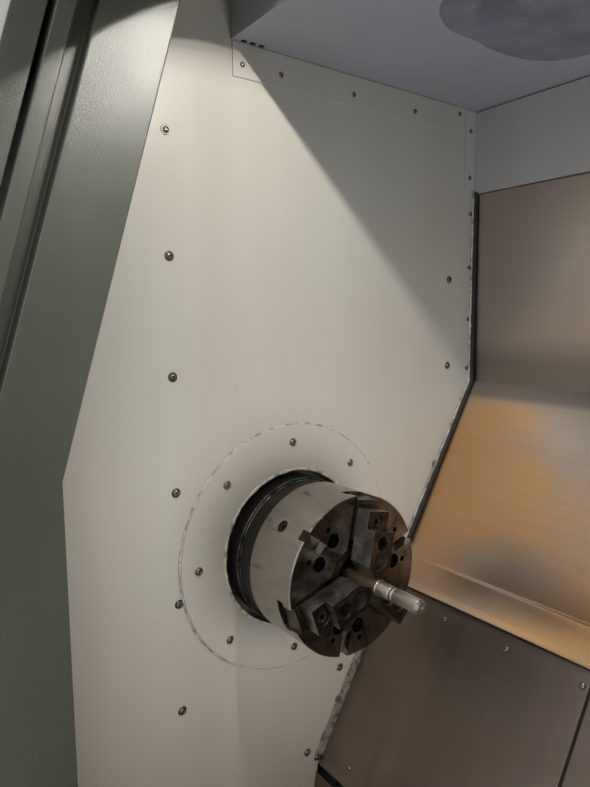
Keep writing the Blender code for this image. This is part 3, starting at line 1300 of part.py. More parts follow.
def electrical_cabinet(datum):
    """The cabinet on the rear of the base, its hinged door and the isolator handle."""
    low = Vector((CABINET_LEFT_X, CABINET_FRONT_Y, BASE_PLATE_TOP + GAP))
    high = Vector((RIGHT_X - SKIN - GAP, CASE_BACK_Y, TOP_SHEET_Z - GAP))
    wall = Vector((CABINET_WALL,) * 3)
    door_right = CABINET_HINGE_X + CABINET_DOOR_LENGTH
    rim = CABINET_MOUTH_RIM
    mouth = block(
        (CABINET_HINGE_X + rim, CASE_BACK_Y - 0.05, CABINET_DOOR_FOOT_Z + rim),
        (door_right - rim, CASE_BACK_Y + 0.05, CABINET_DOOR_TOP_Z - rim),
    )
    inside = block(low + wall, high - wall)
    piece("electrical_cabinet", block(low, high), "beige_paint", datum, cuts=[inside, mouth])
    near = CASE_BACK_Y + GAP
    far = near + CABINET_DOOR_THICK
    hinge = (CABINET_HINGE_X, far, (CABINET_DOOR_FOOT_Z + CABINET_DOOR_TOP_Z) / 2)
    line = stand("cabinet_door_hinge", hinge, datum)
    stem_r = 0.006
    x = door_right - ISOLATOR_INSET
    z = ISOLATOR_Z
    stem_hole = rod((x, near - 0.01, z), (x, far + 0.01, z), stem_r + 2 * GAP, 16)
    door = block((CABINET_HINGE_X, near, CABINET_DOOR_FOOT_Z), (door_right, far, CABINET_DOOR_TOP_Z))
    piece("cabinet_door", door, "beige_paint", line, cuts=[stem_hole], origin=hinge, bevel=0.003)
    place = (x, far, z)
    knob = stand("isolator_axis", place, line)
    plate = rod((x, far + GAP, z), (x, far + 0.012, z), ISOLATOR_R, 24)
    grip = block((x - 0.009, far + 0.006, z - ISOLATOR_R), (x + 0.009, far + ISOLATOR_REACH, z + ISOLATOR_R))
    stem = rod((x, near + 0.002, z), (x, far + 0.008, z), stem_r, 12)
    piece("isolator_handle", plate, "red_plastic", knob, adds=[grip, stem], origin=place)


def sliding_door(datum):
    """The bent sliding door, open at rest, with its window and pull handle."""
    line = stand("door_line", (0, 0, 0), datum)
    left = DOOR_RIGHT_X - DOOR_LENGTH
    far = DOOR_NEAR + DOOR_THICK
    body = prism(front_band(DOOR_NEAR, far, DOOR_FOOT_Z, DOOR_TOP_Z), left, DOOR_RIGHT_X)
    pane_near = DOOR_NEAR + WINDOW_SEAT
    pane_far = pane_near + WINDOW_THICK
    window_left = left + WINDOW_MARGIN
    window_right = DOOR_RIGHT_X - WINDOW_MARGIN
    window_band = front_band(DOOR_NEAR - 0.02, far + 0.02, WINDOW_FOOT_Z, WINDOW_TOP_Z)
    window = prism(window_band, window_left, window_right)
    lap = WINDOW_LAP + 0.001
    rebate = prism(
        front_band(pane_near, far + 0.02, WINDOW_FOOT_Z - lap, WINDOW_TOP_Z + lap),
        window_left - lap, window_right + lap,
    )
    piece("sliding_door", body, "sage_paint", line, cuts=[window, rebate])
    pane = prism(
        front_band(pane_near + GAP, pane_far, WINDOW_FOOT_Z - WINDOW_LAP, WINDOW_TOP_Z + WINDOW_LAP),
        window_left - WINDOW_LAP, window_right + WINDOW_LAP,
    )
    piece("door_window", pane, "clear_sheet", line)
    y0 = POST_INNER_Y - far
    y1 = y0 - HANDLE_REACH + HANDLE_R
    bar = rod((HANDLE_X, y1, HANDLE_LOW_Z), (HANDLE_X, y1, HANDLE_HIGH_Z), HANDLE_R, 20)
    legs = [
        rod((HANDLE_X, y0 - GAP, z), (HANDLE_X, y1, z), HANDLE_R * 0.8, 16)
        for z in (HANDLE_LOW_Z + HANDLE_LEG_INSET, HANDLE_HIGH_Z - HANDLE_LEG_INSET)
    ]
    piece("door_handle", bar, "dark_plastic", line, adds=[joined(*legs)])


def operator_console(datum):
    """The console on the control cover with its screen, buttons, knob and handwheel."""
    near = POST_DEPTH + GAP
    far = near + CONSOLE_THICK
    right = CONSOLE_LEFT_X + CONSOLE_LENGTH
    body = prism(front_band(near, far, CONSOLE_FOOT_Z, CONSOLE_TOP_Z), CONSOLE_LEFT_X, right)
    screen_left = CONSOLE_LEFT_X + SCREEN_LEFT_INSET
    screen_right = right - SCREEN_RIGHT_INSET
    floor = far - SCREEN_RECESS
    recess = prism(front_band(floor, far + 0.02, SCREEN_FOOT_Z, SCREEN_TOP_Z), screen_left, screen_right)
    face_y = POST_INNER_Y - far
    keys_x = CONSOLE_LEFT_X + 0.18
    key_row = [
        block((x, face_y - KEY_HEIGHT, z), (x + KEY_SIZE, face_y + 0.01, z + KEY_SIZE))
        for x in (keys_x + KEY_PITCH * n for n in range(4)) for z in (-0.02, 0.015, 0.05)
    ]
    controls = {
        "estop_button": (CONSOLE_LEFT_X + 0.08, 0.090, 0.0080, 0.020),
        "cycle_start_button": (CONSOLE_LEFT_X + 0.08, -0.020, 0.0100, 0.020),
        "override_knob": (right - 0.09, 0.110, 0.0050, 0.020),
        "handwheel": (right - 0.09, -0.020, 0.0060, 0.020),
    }
    holes = [
        rod((x, face_y - 0.01, z), (x, face_y + depth + 0.012, z), r + GAP, 16)
        for x, z, r, depth in controls.values()
    ]
    piece(
        "operator_console", body, "beige_paint", datum,
        adds=[joined(*key_row)], cuts=[recess, joined(*holes)],
    )
    edge = 0.001
    screen = prism(
        front_band(floor + GAP, floor + SCREEN_THICK, SCREEN_FOOT_Z + edge, SCREEN_TOP_Z - edge),
        screen_left + edge, screen_right - edge,
    )
    piece("console_screen", screen, "screen_glass", datum)
    heads = {
        "estop_button": ("red_plastic", [(0.010, 0.020), (0.026, 0.020)], 28),
        "cycle_start_button": ("green_plastic", [(0.0, 0.0), (0.008, 0.010)], 24),
        "override_knob": ("dark_plastic", [(0.0005, 0.016), (0.020, 0.014)], 20),
        "handwheel": ("ground_steel", [(0.0005, 0.034), (0.022, 0.034)], 36),
    }
    for name, (x, z, r, depth) in controls.items():
        finish, (start, end), steps = heads[name]
        place = (x, face_y, z)
        axis = stand(f"{name}_axis", place, datum)
        stem = rod((x, face_y + depth, z), (x, face_y - end[0], z), r, 16)
        adds = []
        if start[1]:
            adds.append(rod((x, face_y - start[0], z), (x, face_y - end[0] - 0.001, z), start[1], steps))
        if name == "override_knob":
            adds.append(block((x - 0.003, face_y - 0.028, z - 0.015), (x + 0.003, face_y - 0.018, z + 0.015)))
        if name == "handwheel":
            crank_x = x + 0.022
            grip_end = face_y - HANDWHEEL_REACH
            adds.append(rod((crank_x, face_y - 0.020, z), (crank_x, grip_end, z), 0.007, 14))
        piece(name, stem, finish, axis, adds=adds, origin=place)


def main():
    """Build the lathe about its datum."""
    clear_scene()
    datum = empty_at("spindle_datum", DATUM)
    base_casting(datum)
    coolant_tank(datum)
    headstock_casting(datum)
    bearings(datum)
    spindle_group(datum)
    spindle_motor(datum)
    drive_belt(datum)
    end_walls(datum)
    chamber_sheets(datum)
    carriage_group(datum)
    posts_and_front(datum)
    outer_covers(datum)
    electrical_cabinet(datum)
    sliding_door(datum)
    operator_console(datum)


main()
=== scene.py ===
"""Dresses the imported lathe: finishes, fasteners, seals and wear, with the studio around it."""

import json
import logging
import math
from dataclasses import dataclass
from enum import Enum

import bmesh
import bpy
from mathutils import Matrix, Vector, noise

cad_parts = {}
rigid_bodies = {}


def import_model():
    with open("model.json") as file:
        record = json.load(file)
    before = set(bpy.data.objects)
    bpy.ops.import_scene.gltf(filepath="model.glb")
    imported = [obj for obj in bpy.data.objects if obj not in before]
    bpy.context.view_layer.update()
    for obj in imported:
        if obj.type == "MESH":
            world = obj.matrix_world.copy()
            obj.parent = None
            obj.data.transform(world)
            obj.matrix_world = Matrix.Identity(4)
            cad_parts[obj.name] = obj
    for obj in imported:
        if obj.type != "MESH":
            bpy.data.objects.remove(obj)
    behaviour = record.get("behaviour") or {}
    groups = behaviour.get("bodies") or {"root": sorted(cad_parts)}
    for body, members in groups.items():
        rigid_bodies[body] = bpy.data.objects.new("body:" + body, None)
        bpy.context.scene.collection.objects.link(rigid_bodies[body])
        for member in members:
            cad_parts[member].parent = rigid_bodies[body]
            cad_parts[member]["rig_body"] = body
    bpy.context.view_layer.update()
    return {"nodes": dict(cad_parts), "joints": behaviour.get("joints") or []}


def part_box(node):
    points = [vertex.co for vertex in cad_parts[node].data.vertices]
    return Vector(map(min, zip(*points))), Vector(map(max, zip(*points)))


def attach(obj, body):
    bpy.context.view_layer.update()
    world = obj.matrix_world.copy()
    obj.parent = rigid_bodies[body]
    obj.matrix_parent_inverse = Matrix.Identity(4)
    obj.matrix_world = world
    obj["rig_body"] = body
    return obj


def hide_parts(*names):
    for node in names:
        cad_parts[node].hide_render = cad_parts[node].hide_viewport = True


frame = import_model()

LOG = logging.getLogger("lathe")
Socket = bpy.types.NodeSocket
Colour = tuple[float, float, float]
Point = tuple[float, float, float]
Flat = tuple[float, float]
Step = tuple[float, float, int]

SPINDLE_AXIS = Vector(next(j for j in frame["joints"] if j["name"] == "spindle_spin")["pos_m"])
SLOPE_ANGLE = math.radians(59.0)
SLOPE_NORMAL = Vector((0.0, -math.sin(SLOPE_ANGLE), math.cos(SLOPE_ANGLE)))
ALONG_X = Vector((1.0, 0.0, 0.0))
TO_FRONT = Vector((0.0, -1.0, 0.0))
TO_BACK = Vector((0.0, 1.0, 0.0))
UP = Vector((0.0, 0.0, 1.0))


class Body(Enum):
    """The moving bodies that pieces ride on."""

    MACHINE = "machine"
    SPINDLE = "spindle"
    JAW_1 = "jaw_1"
    JAW_2 = "jaw_2"
    JAW_3 = "jaw_3"
    TURRET = "turret"
    DOOR = "door"
    CABINET_DOOR = "cabinet_door"


class Drive(Enum):
    """The recess in a screw's head, with its number of lobes."""

    HEX = 6
    CROSS = 4
    NONE = 0


def world(x: float, y: float, z: float) -> Vector:
    """The place of a point that is measured from the spindle's axis at the wall's face."""
    return Vector((x, y, z)) + SPINDLE_AXIS


def on_slope(x: float, t: float, d: float) -> Vector:
    """The place of a point t up the slant bed and d below the plane through the spindle's axis."""
    c, s = math.cos(SLOPE_ANGLE), math.sin(SLOPE_ANGLE)
    return world(x, t * c + d * s, t * s - d * c)


def polar(x: float, radius: float, degrees: float) -> Vector:
    """The place of a point about the spindle's axis, its angle counted from the back upwards."""
    a = math.radians(degrees)
    return world(x, radius * math.cos(a), radius * math.sin(a))


def shaded(colour: Colour, share: float) -> Colour:
    """A colour with only a share of its brightness left."""
    return tuple(c * share for c in colour)


class Bench:
    """One material's node tree, with short ways to lay out its noises, ramps and bumps."""

    def __init__(self, name: str) -> None:
        """Starts a material that holds one Principled shader.

        Args:
            name: The material's name.
        """
        self.material = bpy.data.materials.new(name)
        self.material.use_nodes = True
        self.tree = self.material.node_tree
        self.shader = next(n for n in self.tree.nodes if n.type == "BSDF_PRINCIPLED")
        self.height: Socket | None = None
        self.place = self.tree.nodes.new("ShaderNodeTexCoord").outputs["Object"]

    def set(self, **values: float | Colour) -> None:
        """Sets constants on the shader's own sockets.

        Args:
            values: A value for each socket, whose name has underscores for spaces.
        """
        for name, value in values.items():
            socket = self.shader.inputs[name.replace("_", " ")]
            socket.default_value = (*value, 1.0) if isinstance(value, tuple) else value

    def feed(self, name: str, source: Socket) -> None:
        """Links a source that varies over the surface into one of the shader's sockets."""
        self.tree.links.new(source, self.shader.inputs[name])

    def spread(self, scale: Point, turn: Point = (0.0, 0.0, 0.0)) -> Socket:
        """Stretches the object coordinates on each axis.

        Args:
            scale: The factor along each axis.
            turn: Euler angles in degrees, applied first.

        Returns:
            The mapped vector.
        """
        node = self.tree.nodes.new("ShaderNodeMapping")
        node.inputs["Scale"].default_value = scale
        node.inputs["Rotation"].default_value = [math.radians(a) for a in turn]
        self.tree.links.new(self.place, node.inputs["Vector"])
        return node.outputs["Vector"]

    def noise(self, scale: float, detail: float = 4.0, rough: float = 0.55, where: Socket | None = None,
              twist: float = 0.0) -> Socket:
        """Lays out a noise.

        Args:
            scale: Its cycles a metre.
            detail: Its octaves.
            rough: The weight of its finer octaves.
            where: The coordinates, or None for the object's own.
            twist: How far it is distorted.

        Returns:
            A value from 0 to 1.
        """
        node = self.tree.nodes.new("ShaderNodeTexNoise")
        node.inputs["Scale"].default_value = scale
        node.inputs["Detail"].default_value = detail
        node.inputs["Roughness"].default_value = rough
        node.inputs["Distortion"].default_value = twist
        self.tree.links.new(where or self.place, node.inputs["Vector"])
        return node.outputs["Fac"]

    def cells(self, scale: float) -> Socket:
        """Lays out a scatter of points.

        Args:
            scale: How many points there are a metre.

        Returns:
            The distance to the nearest point.
        """
        node = self.tree.nodes.new("ShaderNodeTexVoronoi")
        node.inputs["Scale"].default_value = scale
        self.tree.links.new(self.place, node.inputs["Vector"])
        return node.outputs["Distance"]

    def band(self, value: Socket, between: Flat, onto: Flat = (0.0, 1.0)) -> Socket:
        """Maps a value smoothly from one range onto another.

        Args:
            value: The value.
            between: The two levels between which it is taken.
            onto: What it becomes at those levels and past them.

        Returns:
            The mapped value.
        """
        node = self.tree.nodes.new("ShaderNodeMapRange")
        node.interpolation_type = "SMOOTHSTEP"
        for name, number in zip(("From Min", "From Max", "To Min", "To Max"), (*between, *onto)):
            node.inputs[name].default_value = number
        self.tree.links.new(value, node.inputs["Value"])
        return node.outputs["Result"]

    def sum(self, how: str, a: Socket, b: Socket | float) -> Socket:
        """Does one step of arithmetic.

        Args:
            how: The operation's name.
            a: The first value.
            b: The second value.

        Returns:
            The result.
        """
        node = self.tree.nodes.new("ShaderNodeMath")
        node.operation = how
        self.tree.links.new(a, node.inputs[0])
        if isinstance(b, (int, float)):
            node.inputs[1].default_value = b
        else:
            self.tree.links.new(b, node.inputs[1])
        return node.outputs[0]

    def times(self, a: Socket, b: Socket | float) -> Socket:
        """The product of two values."""
        return self.sum("MULTIPLY", a, b)

    def plus(self, a: Socket, b: Socket | float) -> Socket:
        """The sum of two values."""
        return self.sum("ADD", a, b)

    def blend(self, share: Socket, a: Socket | Colour, b: Socket | Colour) -> Socket:
        """Mixes one colour towards another.

        Args:
            share: How much of the second colour there is.
            a: The first colour.
            b: The second colour.

        Returns:
            The mixed colour.
        """
        node = self.tree.nodes.new("ShaderNodeMix")
        node.data_type = "RGBA"
        self.tree.links.new(share, node.inputs[0])
        for socket, value in ((node.inputs[6], a), (node.inputs[7], b)):
            if isinstance(value, tuple):
                socket.default_value = (*value, 1.0)
            else:
                self.tree.links.new(value, socket)
        return node.outputs[2]

    def split(self) -> list[Socket]:
        """Takes the object coordinates apart.

        Returns:
            The coordinates along X, Y and Z.
        """
        node = self.tree.nodes.new("ShaderNodeSeparateXYZ")
        self.tree.links.new(self.place, node.inputs[0])
        return list(node.outputs)

    def facing(self, axis: int) -> Socket:
        """Measures how squarely the surface faces an axis, either way along it.

        Args:
            axis: 0, 1 or 2 for X, Y or Z.

        Returns:
            A value from 0 to 1.
        """
        geometry = self.tree.nodes.new("ShaderNodeNewGeometry")
        node = self.tree.nodes.new("ShaderNodeSeparateXYZ")
        self.tree.links.new(geometry.outputs["True Normal"], node.inputs[0])
        return self.sum("ABSOLUTE", node.outputs[axis], 0.0)

    def relief(self, value: Socket, depth: float) -> None:
        """Adds a height to the surface's bump.

        Args:
            value: What varies over the surface.
            depth: The height in metres where the value is 1.
        """
        scaled = self.times(value, depth)
        self.height = scaled if self.height is None else self.plus(self.height, scaled)

    def worn_edges(self, reach: float) -> Socket:
        """Finds the surface's edges.

        Args:
            reach: How far an edge's wear reaches, in metres.

        Returns:
            A share that rises from 0 on flats to 1 on edges and in corners.
        """
        bevel = self.tree.nodes.new("ShaderNodeBevel")
        bevel.samples = 4
        bevel.inputs["Radius"].default_value = reach
        geometry = self.tree.nodes.new("ShaderNodeNewGeometry")
        dot = self.tree.nodes.new("ShaderNodeVectorMath")
        dot.operation = "DOT_PRODUCT"
        self.tree.links.new(bevel.outputs["Normal"], dot.inputs[0])
        self.tree.links.new(geometry.outputs["Normal"], dot.inputs[1])
        return self.band(dot.outputs["Value"], between=(0.995, 0.86))

    def done(self) -> bpy.types.Material:
        """Joins the bump to the shader.

        Returns:
            The finished material.
        """
        if self.height is not None:
            bump = self.tree.nodes.new("ShaderNodeBump")
            bump.inputs["Distance"].default_value = 1.0
            self.tree.links.new(self.height, bump.inputs["Height"])
            self.feed("Normal", bump.outputs["Normal"])
            self.feed("Coat Normal", bump.outputs["Normal"])
        return self.material


@dataclass(frozen=True)
class Finish:
    """A surface finish: its name and its main colour."""

    name: str
    base: Colour

    def material(self) -> bpy.types.Material:
        """Gives the Blender material of this finish, which is made once.

        Returns:
            The material.
        """
        name = f"{self.name}_finish"
        found = bpy.data.materials.get(name)
        if found is None:
            bench = Bench(name)
            self.lay_out(bench)
            found = bench.done()
        return found

    def lay_out(self, bench: Bench) -> None:
        """Lays out the finish's nodes on a bench; a plain finish has only its colour."""
        bench.set(Base_Color=self.base)


@dataclass(frozen=True)
class Enamel(Finish):
    """Sprayed machine enamel with orange peel, grime that ran down and specks of spatter."""

    shade: Colour
    grime: Colour = (0.12, 0.10, 0.07)
    gloss: float = 0.30
    haze: float = 0.11
    peel: float = 0.00006
    peel_scale: float = 210.0
    dirt: float = 0.35
    spatter: float = 0.0
    speck_height: float = 0.0003
    coat: float = 0.0
    coat_gloss: float = 0.24
    wave: float = 0.0006

    def lay_out(self, bench: Bench) -> None:
        """Mottled colour, streaks that run down, sparse spatter, and a peel bump.

        Args:
            bench: The bench that the nodes are laid out on.
        """
        mottle = bench.noise(scale=3.2, detail=2.0, rough=0.5)
        colour = bench.blend(bench.band(mottle, between=(0.25, 0.75)), self.base, self.shade)
        runs = bench.noise(scale=9.0, detail=2.0, rough=0.5, where=bench.spread((1.0, 1.0, 0.07)))
        film = bench.times(bench.band(runs, between=(0.30, 0.80)), self.dirt)
        colour = bench.blend(film, colour, self.grime)
        specks = bench.band(bench.cells(85.0), between=(0.095, 0.05))
        where = bench.band(bench.noise(scale=6.0, detail=3.0), between=(0.42, 0.72))
        spots = bench.times(specks, where)
        bench.feed("Base Color", bench.blend(bench.times(spots, self.spatter), colour, self.grime))
        haze = bench.noise(scale=11.0, detail=2.0, rough=0.5)
        bench.feed("Roughness", bench.band(
            haze, between=(0.2, 0.8), onto=(self.gloss, self.gloss + self.haze)))
        bench.relief(bench.noise(scale=self.peel_scale, detail=2.0, rough=0.5), self.peel)
        bench.relief(bench.noise(scale=7.0, detail=1.0, rough=0.4), self.wave)
        bench.relief(spots, self.speck_height * self.spatter)
        bench.set(Coat_Weight=self.coat, Coat_Roughness=self.coat_gloss)


@dataclass(frozen=True)
class SheetMetal(Finish):
    """Rolled sheet steel with a brushed lay along X, oil stains and fine scratches; where it has a fold, the
    stains below it are partly a painted warm reflection, and a stripe of painted shade runs along the fold.
    """

    stain: Colour
    gloss: float = 0.30
    lay: float = 1.0
    stains: float = 0.7
    dullness: float = 0.12
    # The fold's height; below it the golden stains are partly a painted warm reflection.
    stains_and_reflection_below: float | None = None
    wiped: float = 0.0
    lay_depth: float = 0.000012
    scratch_depth: float = 0.00001
    buckle: float = 0.0010

    def lay_out(self, bench: Bench) -> None:
        """Long streaks, golden stains in patches that are partly a painted warm reflection below a fold,
        wiped columns, a stripe of painted shade along the fold, and scratches across them.

        Args:
            bench: The bench that the nodes are laid out on.
        """
        streaks = bench.noise(scale=6.0, detail=5.0, rough=0.65, where=bench.spread((0.5, 210.0, 210.0)))
        patches = bench.noise(
            scale=3.4, detail=3.0, rough=0.5, where=bench.spread((0.7, 1.3, 1.3)), twist=0.3)
        share = bench.times(bench.band(patches, between=(0.26, 0.64)), self.stains)
        if self.stains_and_reflection_below is None:
            colour = bench.blend(share, self.base, self.stain)
        else:
            colour = self.stains_and_shade_at_fold(bench, share)
        columns = bench.noise(scale=1.0, detail=3.0, rough=0.5, where=bench.spread((15.0, 1.1, 1.1)))
        wiped = bench.times(bench.band(columns, between=(0.40, 0.64)), self.wiped)
        colour = bench.blend(wiped, colour, shaded(self.base, 0.55))
        grooves = bench.times(bench.band(streaks, between=(0.35, 0.80)), 0.34 * self.lay)
        bench.feed("Base Color", bench.blend(grooves, colour, shaded(self.base, 0.60)))
        smear = bench.noise(scale=9.0, detail=3.0, rough=0.55, where=bench.spread((0.5, 1.0, 1.0)))
        brushed = bench.band(streaks, between=(0.25, 0.8), onto=(self.gloss, self.gloss + self.dullness))
        bench.feed("Roughness", bench.plus(
            brushed, bench.band(smear, between=(0.30, 0.80), onto=(0.0, self.dullness * 0.7))))
        bench.relief(streaks, self.lay_depth * self.lay)
        slanted = bench.spread((0.06, 1.0, 1.0), turn=(0.0, 0.0, 24.0))
        scratches = bench.noise(scale=60.0, detail=2.0, rough=0.5, where=slanted)
        bench.relief(bench.band(scratches, between=(0.68, 0.71)), -self.scratch_depth)
        bench.relief(bench.noise(scale=3.0, detail=1.0, rough=0.4), self.buckle)
        bench.set(Metallic=1.0)

    def stains_and_shade_at_fold(self, bench: Bench, share: Socket) -> Socket:
        """Keeps the stains, partly a painted warm reflection, below a fold, and paints a stripe of shade and
        dark reflection along the fold.

        Args:
            bench: The bench that the nodes are laid out on.
            share: How stained the sheet is.

        Returns:
            The sheet's colour, with the painted reflection and the painted shade.
        """
        height = bench.split()[2]
        fold = world(0, 0, self.stains_and_reflection_below).z
        # Stains below the fold, partly a painted warm reflection of the lit wall.
        below = bench.band(height, between=(fold - 0.010, fold - 0.045), onto=(0.10, 1.0))
        # A painted stripe of shade and dark reflection along the fold.
        painted_shade_top = bench.band(height, between=(fold + 0.090, fold + 0.030))
        painted_shade_foot = bench.band(height, between=(fold - 0.032, fold - 0.018))
        painted_shade_stripe = bench.times(bench.times(painted_shade_top, painted_shade_foot), 0.62)
        colour = bench.blend(bench.times(share, below), self.base, self.stain)
        return bench.blend(painted_shade_stripe, colour, shaded(self.base, 0.30))


@dataclass(frozen=True)
class Machined(Finish):
    """Steel that is turned or ground, with tool lay, an oily film, brown stains and bright worn edges."""

    stain: Colour = (0.16, 0.10, 0.06)
    bright: Colour = (0.72, 0.70, 0.66)
    gloss: float = 0.29
    stains: float = 0.6
    rings: bool = True
    wear: float = 0.0012
    metal: float = 1.0
    dullness: float = 0.14
    soiled_x: float | None = None
    flank: Colour | None = None
    raw_x: float | None = None
    raw: Colour = (0.40, 0.275, 0.175)
    ring_scale: float = 2600.0
    ring_depth: float = 0.000035
    grain_depth: float = 0.00002
    dent_depth: float = 0.00012

    def lay_out(self, bench: Bench) -> None:
        """Rings about the spindle's axis, stains in the hollows and wear along the edges.

        Args:
            bench: The bench that the nodes are laid out on.
        """
        patches = bench.noise(scale=38.0, detail=7.0, rough=0.65, twist=0.4)
        fine = bench.noise(scale=190.0, detail=5.0, rough=0.7)
        film = bench.noise(scale=9.0, detail=4.0, rough=0.6)
        stained = bench.band(bench.plus(patches, bench.times(fine, 0.25)), between=(0.50, 0.84))
        colour = bench.blend(bench.times(stained, self.stains), self.base, self.stain)
        dulled = bench.band(film, between=(0.42, 0.70), onto=(0.0, 0.45))
        colour = self.used(bench, bench.blend(dulled, colour, shaded(self.base, 0.5)))
        rough = bench.plus(
            bench.band(patches, between=(0.3, 0.75), onto=(self.gloss, self.gloss + self.dullness)),
            bench.times(fine, 0.04))
        if self.raw_x is not None:
            end = world(self.raw_x, 0, 0).x
            skin = bench.band(bench.split()[0], between=(end, end - 0.0006))
            colour = bench.blend(skin, colour, self.raw)
            rough = bench.plus(rough, bench.times(skin, 0.14))
        if self.wear:
            chips = bench.band(bench.noise(scale=120.0, detail=4.0, rough=0.6), between=(0.34, 0.60))
            colour = bench.blend(bench.times(bench.worn_edges(self.wear), chips), colour, self.bright)
        bench.feed("Base Color", colour)
        bench.feed("Roughness", rough)
        if self.rings:
            lay = bench.noise(scale=1.0, detail=3.0, rough=0.7, where=self.radial(bench))
            bench.relief(lay, self.ring_depth)
        bench.relief(fine, self.grain_depth)
        dents = bench.times(bench.band(bench.cells(70.0), between=(0.10, 0.03)),
                            bench.band(film, between=(0.5, 0.6)))
        bench.relief(dents, -self.dent_depth)
        bench.set(Metallic=self.metal)

    def used(self, bench: Bench, colour: Socket) -> Socket:
        """Cakes grime past a face, and cleans the flanks that point across the spindle.

        Args:
            bench: The bench that the nodes are laid out on.
            colour: The colour so far.

        Returns:
            The colour with both, where the finish has them.
        """
        if self.soiled_x is not None:
            face = world(self.soiled_x, 0, 0).x
            beyond = bench.band(bench.split()[0], between=(face - 0.0012, face - 0.0004))
            grime = bench.noise(scale=52.0, detail=5.0, rough=0.6)
            caked = bench.times(beyond, bench.band(grime, between=(0.30, 0.62), onto=(0.94, 0.55)))
            colour = bench.blend(caked, colour, self.stain)
        if self.flank is not None:
            side = bench.band(bench.facing(0), between=(0.30, 0.10))
            rubbed = bench.noise(scale=44.0, detail=4.0, rough=0.6)
            clean = bench.times(side, bench.band(rubbed, between=(0.34, 0.58), onto=(0.85, 0.35)))
            colour = bench.blend(clean, colour, self.flank)
        return colour

    def radial(self, bench: Bench) -> Socket:
        """Lays out a vector that changes with the distance from the spindle's axis and along it.

        Args:
            bench: The bench that the nodes are laid out on.

        Returns:
            The vector.
        """
        along, across, height = bench.split()
        y = bench.sum("SUBTRACT", across, SPINDLE_AXIS.y)
        z = bench.sum("SUBTRACT", height, SPINDLE_AXIS.z)
        radius = bench.sum("SQRT", bench.plus(bench.times(y, y), bench.times(z, z)), 0.0)
        joined = bench.tree.nodes.new("ShaderNodeCombineXYZ")
        bench.tree.links.new(bench.times(radius, self.ring_scale), joined.inputs[0])
        bench.tree.links.new(bench.times(along, self.ring_scale), joined.inputs[1])
        return joined.outputs[0]


@dataclass(frozen=True)
class Moulded(Finish):
    """Moulded plastic or rubber with a fine texture and handling dirt."""

    gloss: float
    grain: float
    dirt: float = 0.25
    haze: float = 0.14

    def lay_out(self, bench: Bench) -> None:
        """A grain bump and a patchy film of dirt.

        Args:
            bench: The bench that the nodes are laid out on.
        """
        film = bench.band(bench.noise(scale=40.0, detail=5.0), between=(0.45, 0.7))
        dusty = tuple(c + 0.02 for c in shaded(self.base, 0.45))
        bench.feed("Base Color", bench.blend(bench.times(film, self.dirt), self.base, dusty))
        handled = bench.noise(scale=90.0, detail=4.0)
        bench.feed("Roughness", bench.band(
            handled, between=(0.3, 0.7), onto=(self.gloss, self.gloss + self.haze)))
        bench.relief(bench.noise(scale=900.0, detail=2.0), self.grain)


@dataclass(frozen=True)
class ClearSheet(Finish):
    """Polycarbonate window sheet, hazed by coolant and fine scratches."""

    bend: float = 1.58
    haze: Flat = (0.02, 0.16)
    scratch_depth: float = 0.00002

    def lay_out(self, bench: Bench) -> None:
        """Clear transmission with patchy haze.

        Args:
            bench: The bench that the nodes are laid out on.
        """
        bench.set(Base_Color=self.base, Transmission_Weight=1.0, IOR=self.bend)
        film = bench.noise(scale=14.0, detail=6.0)
        bench.feed("Roughness", bench.band(film, between=(0.35, 0.75), onto=self.haze))
        scratches = bench.noise(scale=90.0, detail=2.0, rough=0.5, where=bench.spread((1.0, 1.0, 0.05)))
        bench.relief(bench.band(scratches, between=(0.66, 0.70)), -self.scratch_depth)


@dataclass(frozen=True)
class OilFilm(Finish):
    """A wet, dark film of oil with a thick rim."""

    gloss: Flat = (0.10, 0.24)
    ripple: float = 0.0004
    coat: float = 0.5
    coat_gloss: float = 0.06

    def lay_out(self, bench: Bench) -> None:
        """Gloss over a dark, slightly uneven body.

        Args:
            bench: The bench that the nodes are laid out on.
        """
        thick = bench.band(bench.noise(scale=18.0), between=(0.35, 0.7))
        bench.feed("Base Color", bench.blend(thick, self.base, shaded(self.base, 0.7)))
        smear = bench.noise(scale=30.0, detail=3.0)
        bench.feed("Roughness", bench.band(smear, between=(0.3, 0.7), onto=self.gloss))
        bench.relief(bench.noise(scale=45.0, detail=2.0), self.ripple)
        bench.set(Coat_Weight=self.coat, Coat_Roughness=self.coat_gloss)


@dataclass(frozen=True)
class Sealant(Finish):
    """Hand-laid sealant: lumpy, chipped and grimy."""

    gloss: float
    metal: float = 0.0
    haze: float = 0.2
    lumps: float = 0.0007

    def lay_out(self, bench: Bench) -> None:
        """Grime in patches over the bead, and lumps from the finger that laid it.

        Args:
            bench: The bench that the nodes are laid out on.
        """
        patches = bench.band(bench.noise(scale=85.0, detail=5.0, rough=0.65), between=(0.42, 0.66))
        bench.feed("Base Color", bench.blend(patches, self.base, shaded(self.base, 0.35)))
        smear = bench.noise(scale=120.0, detail=3.0)
        bench.feed("Roughness", bench.band(
            smear, between=(0.3, 0.7), onto=(self.gloss, self.gloss + self.haze)))
        bench.relief(bench.noise(scale=260.0, detail=4.0, rough=0.6), self.lumps)
        bench.set(Metallic=self.metal)


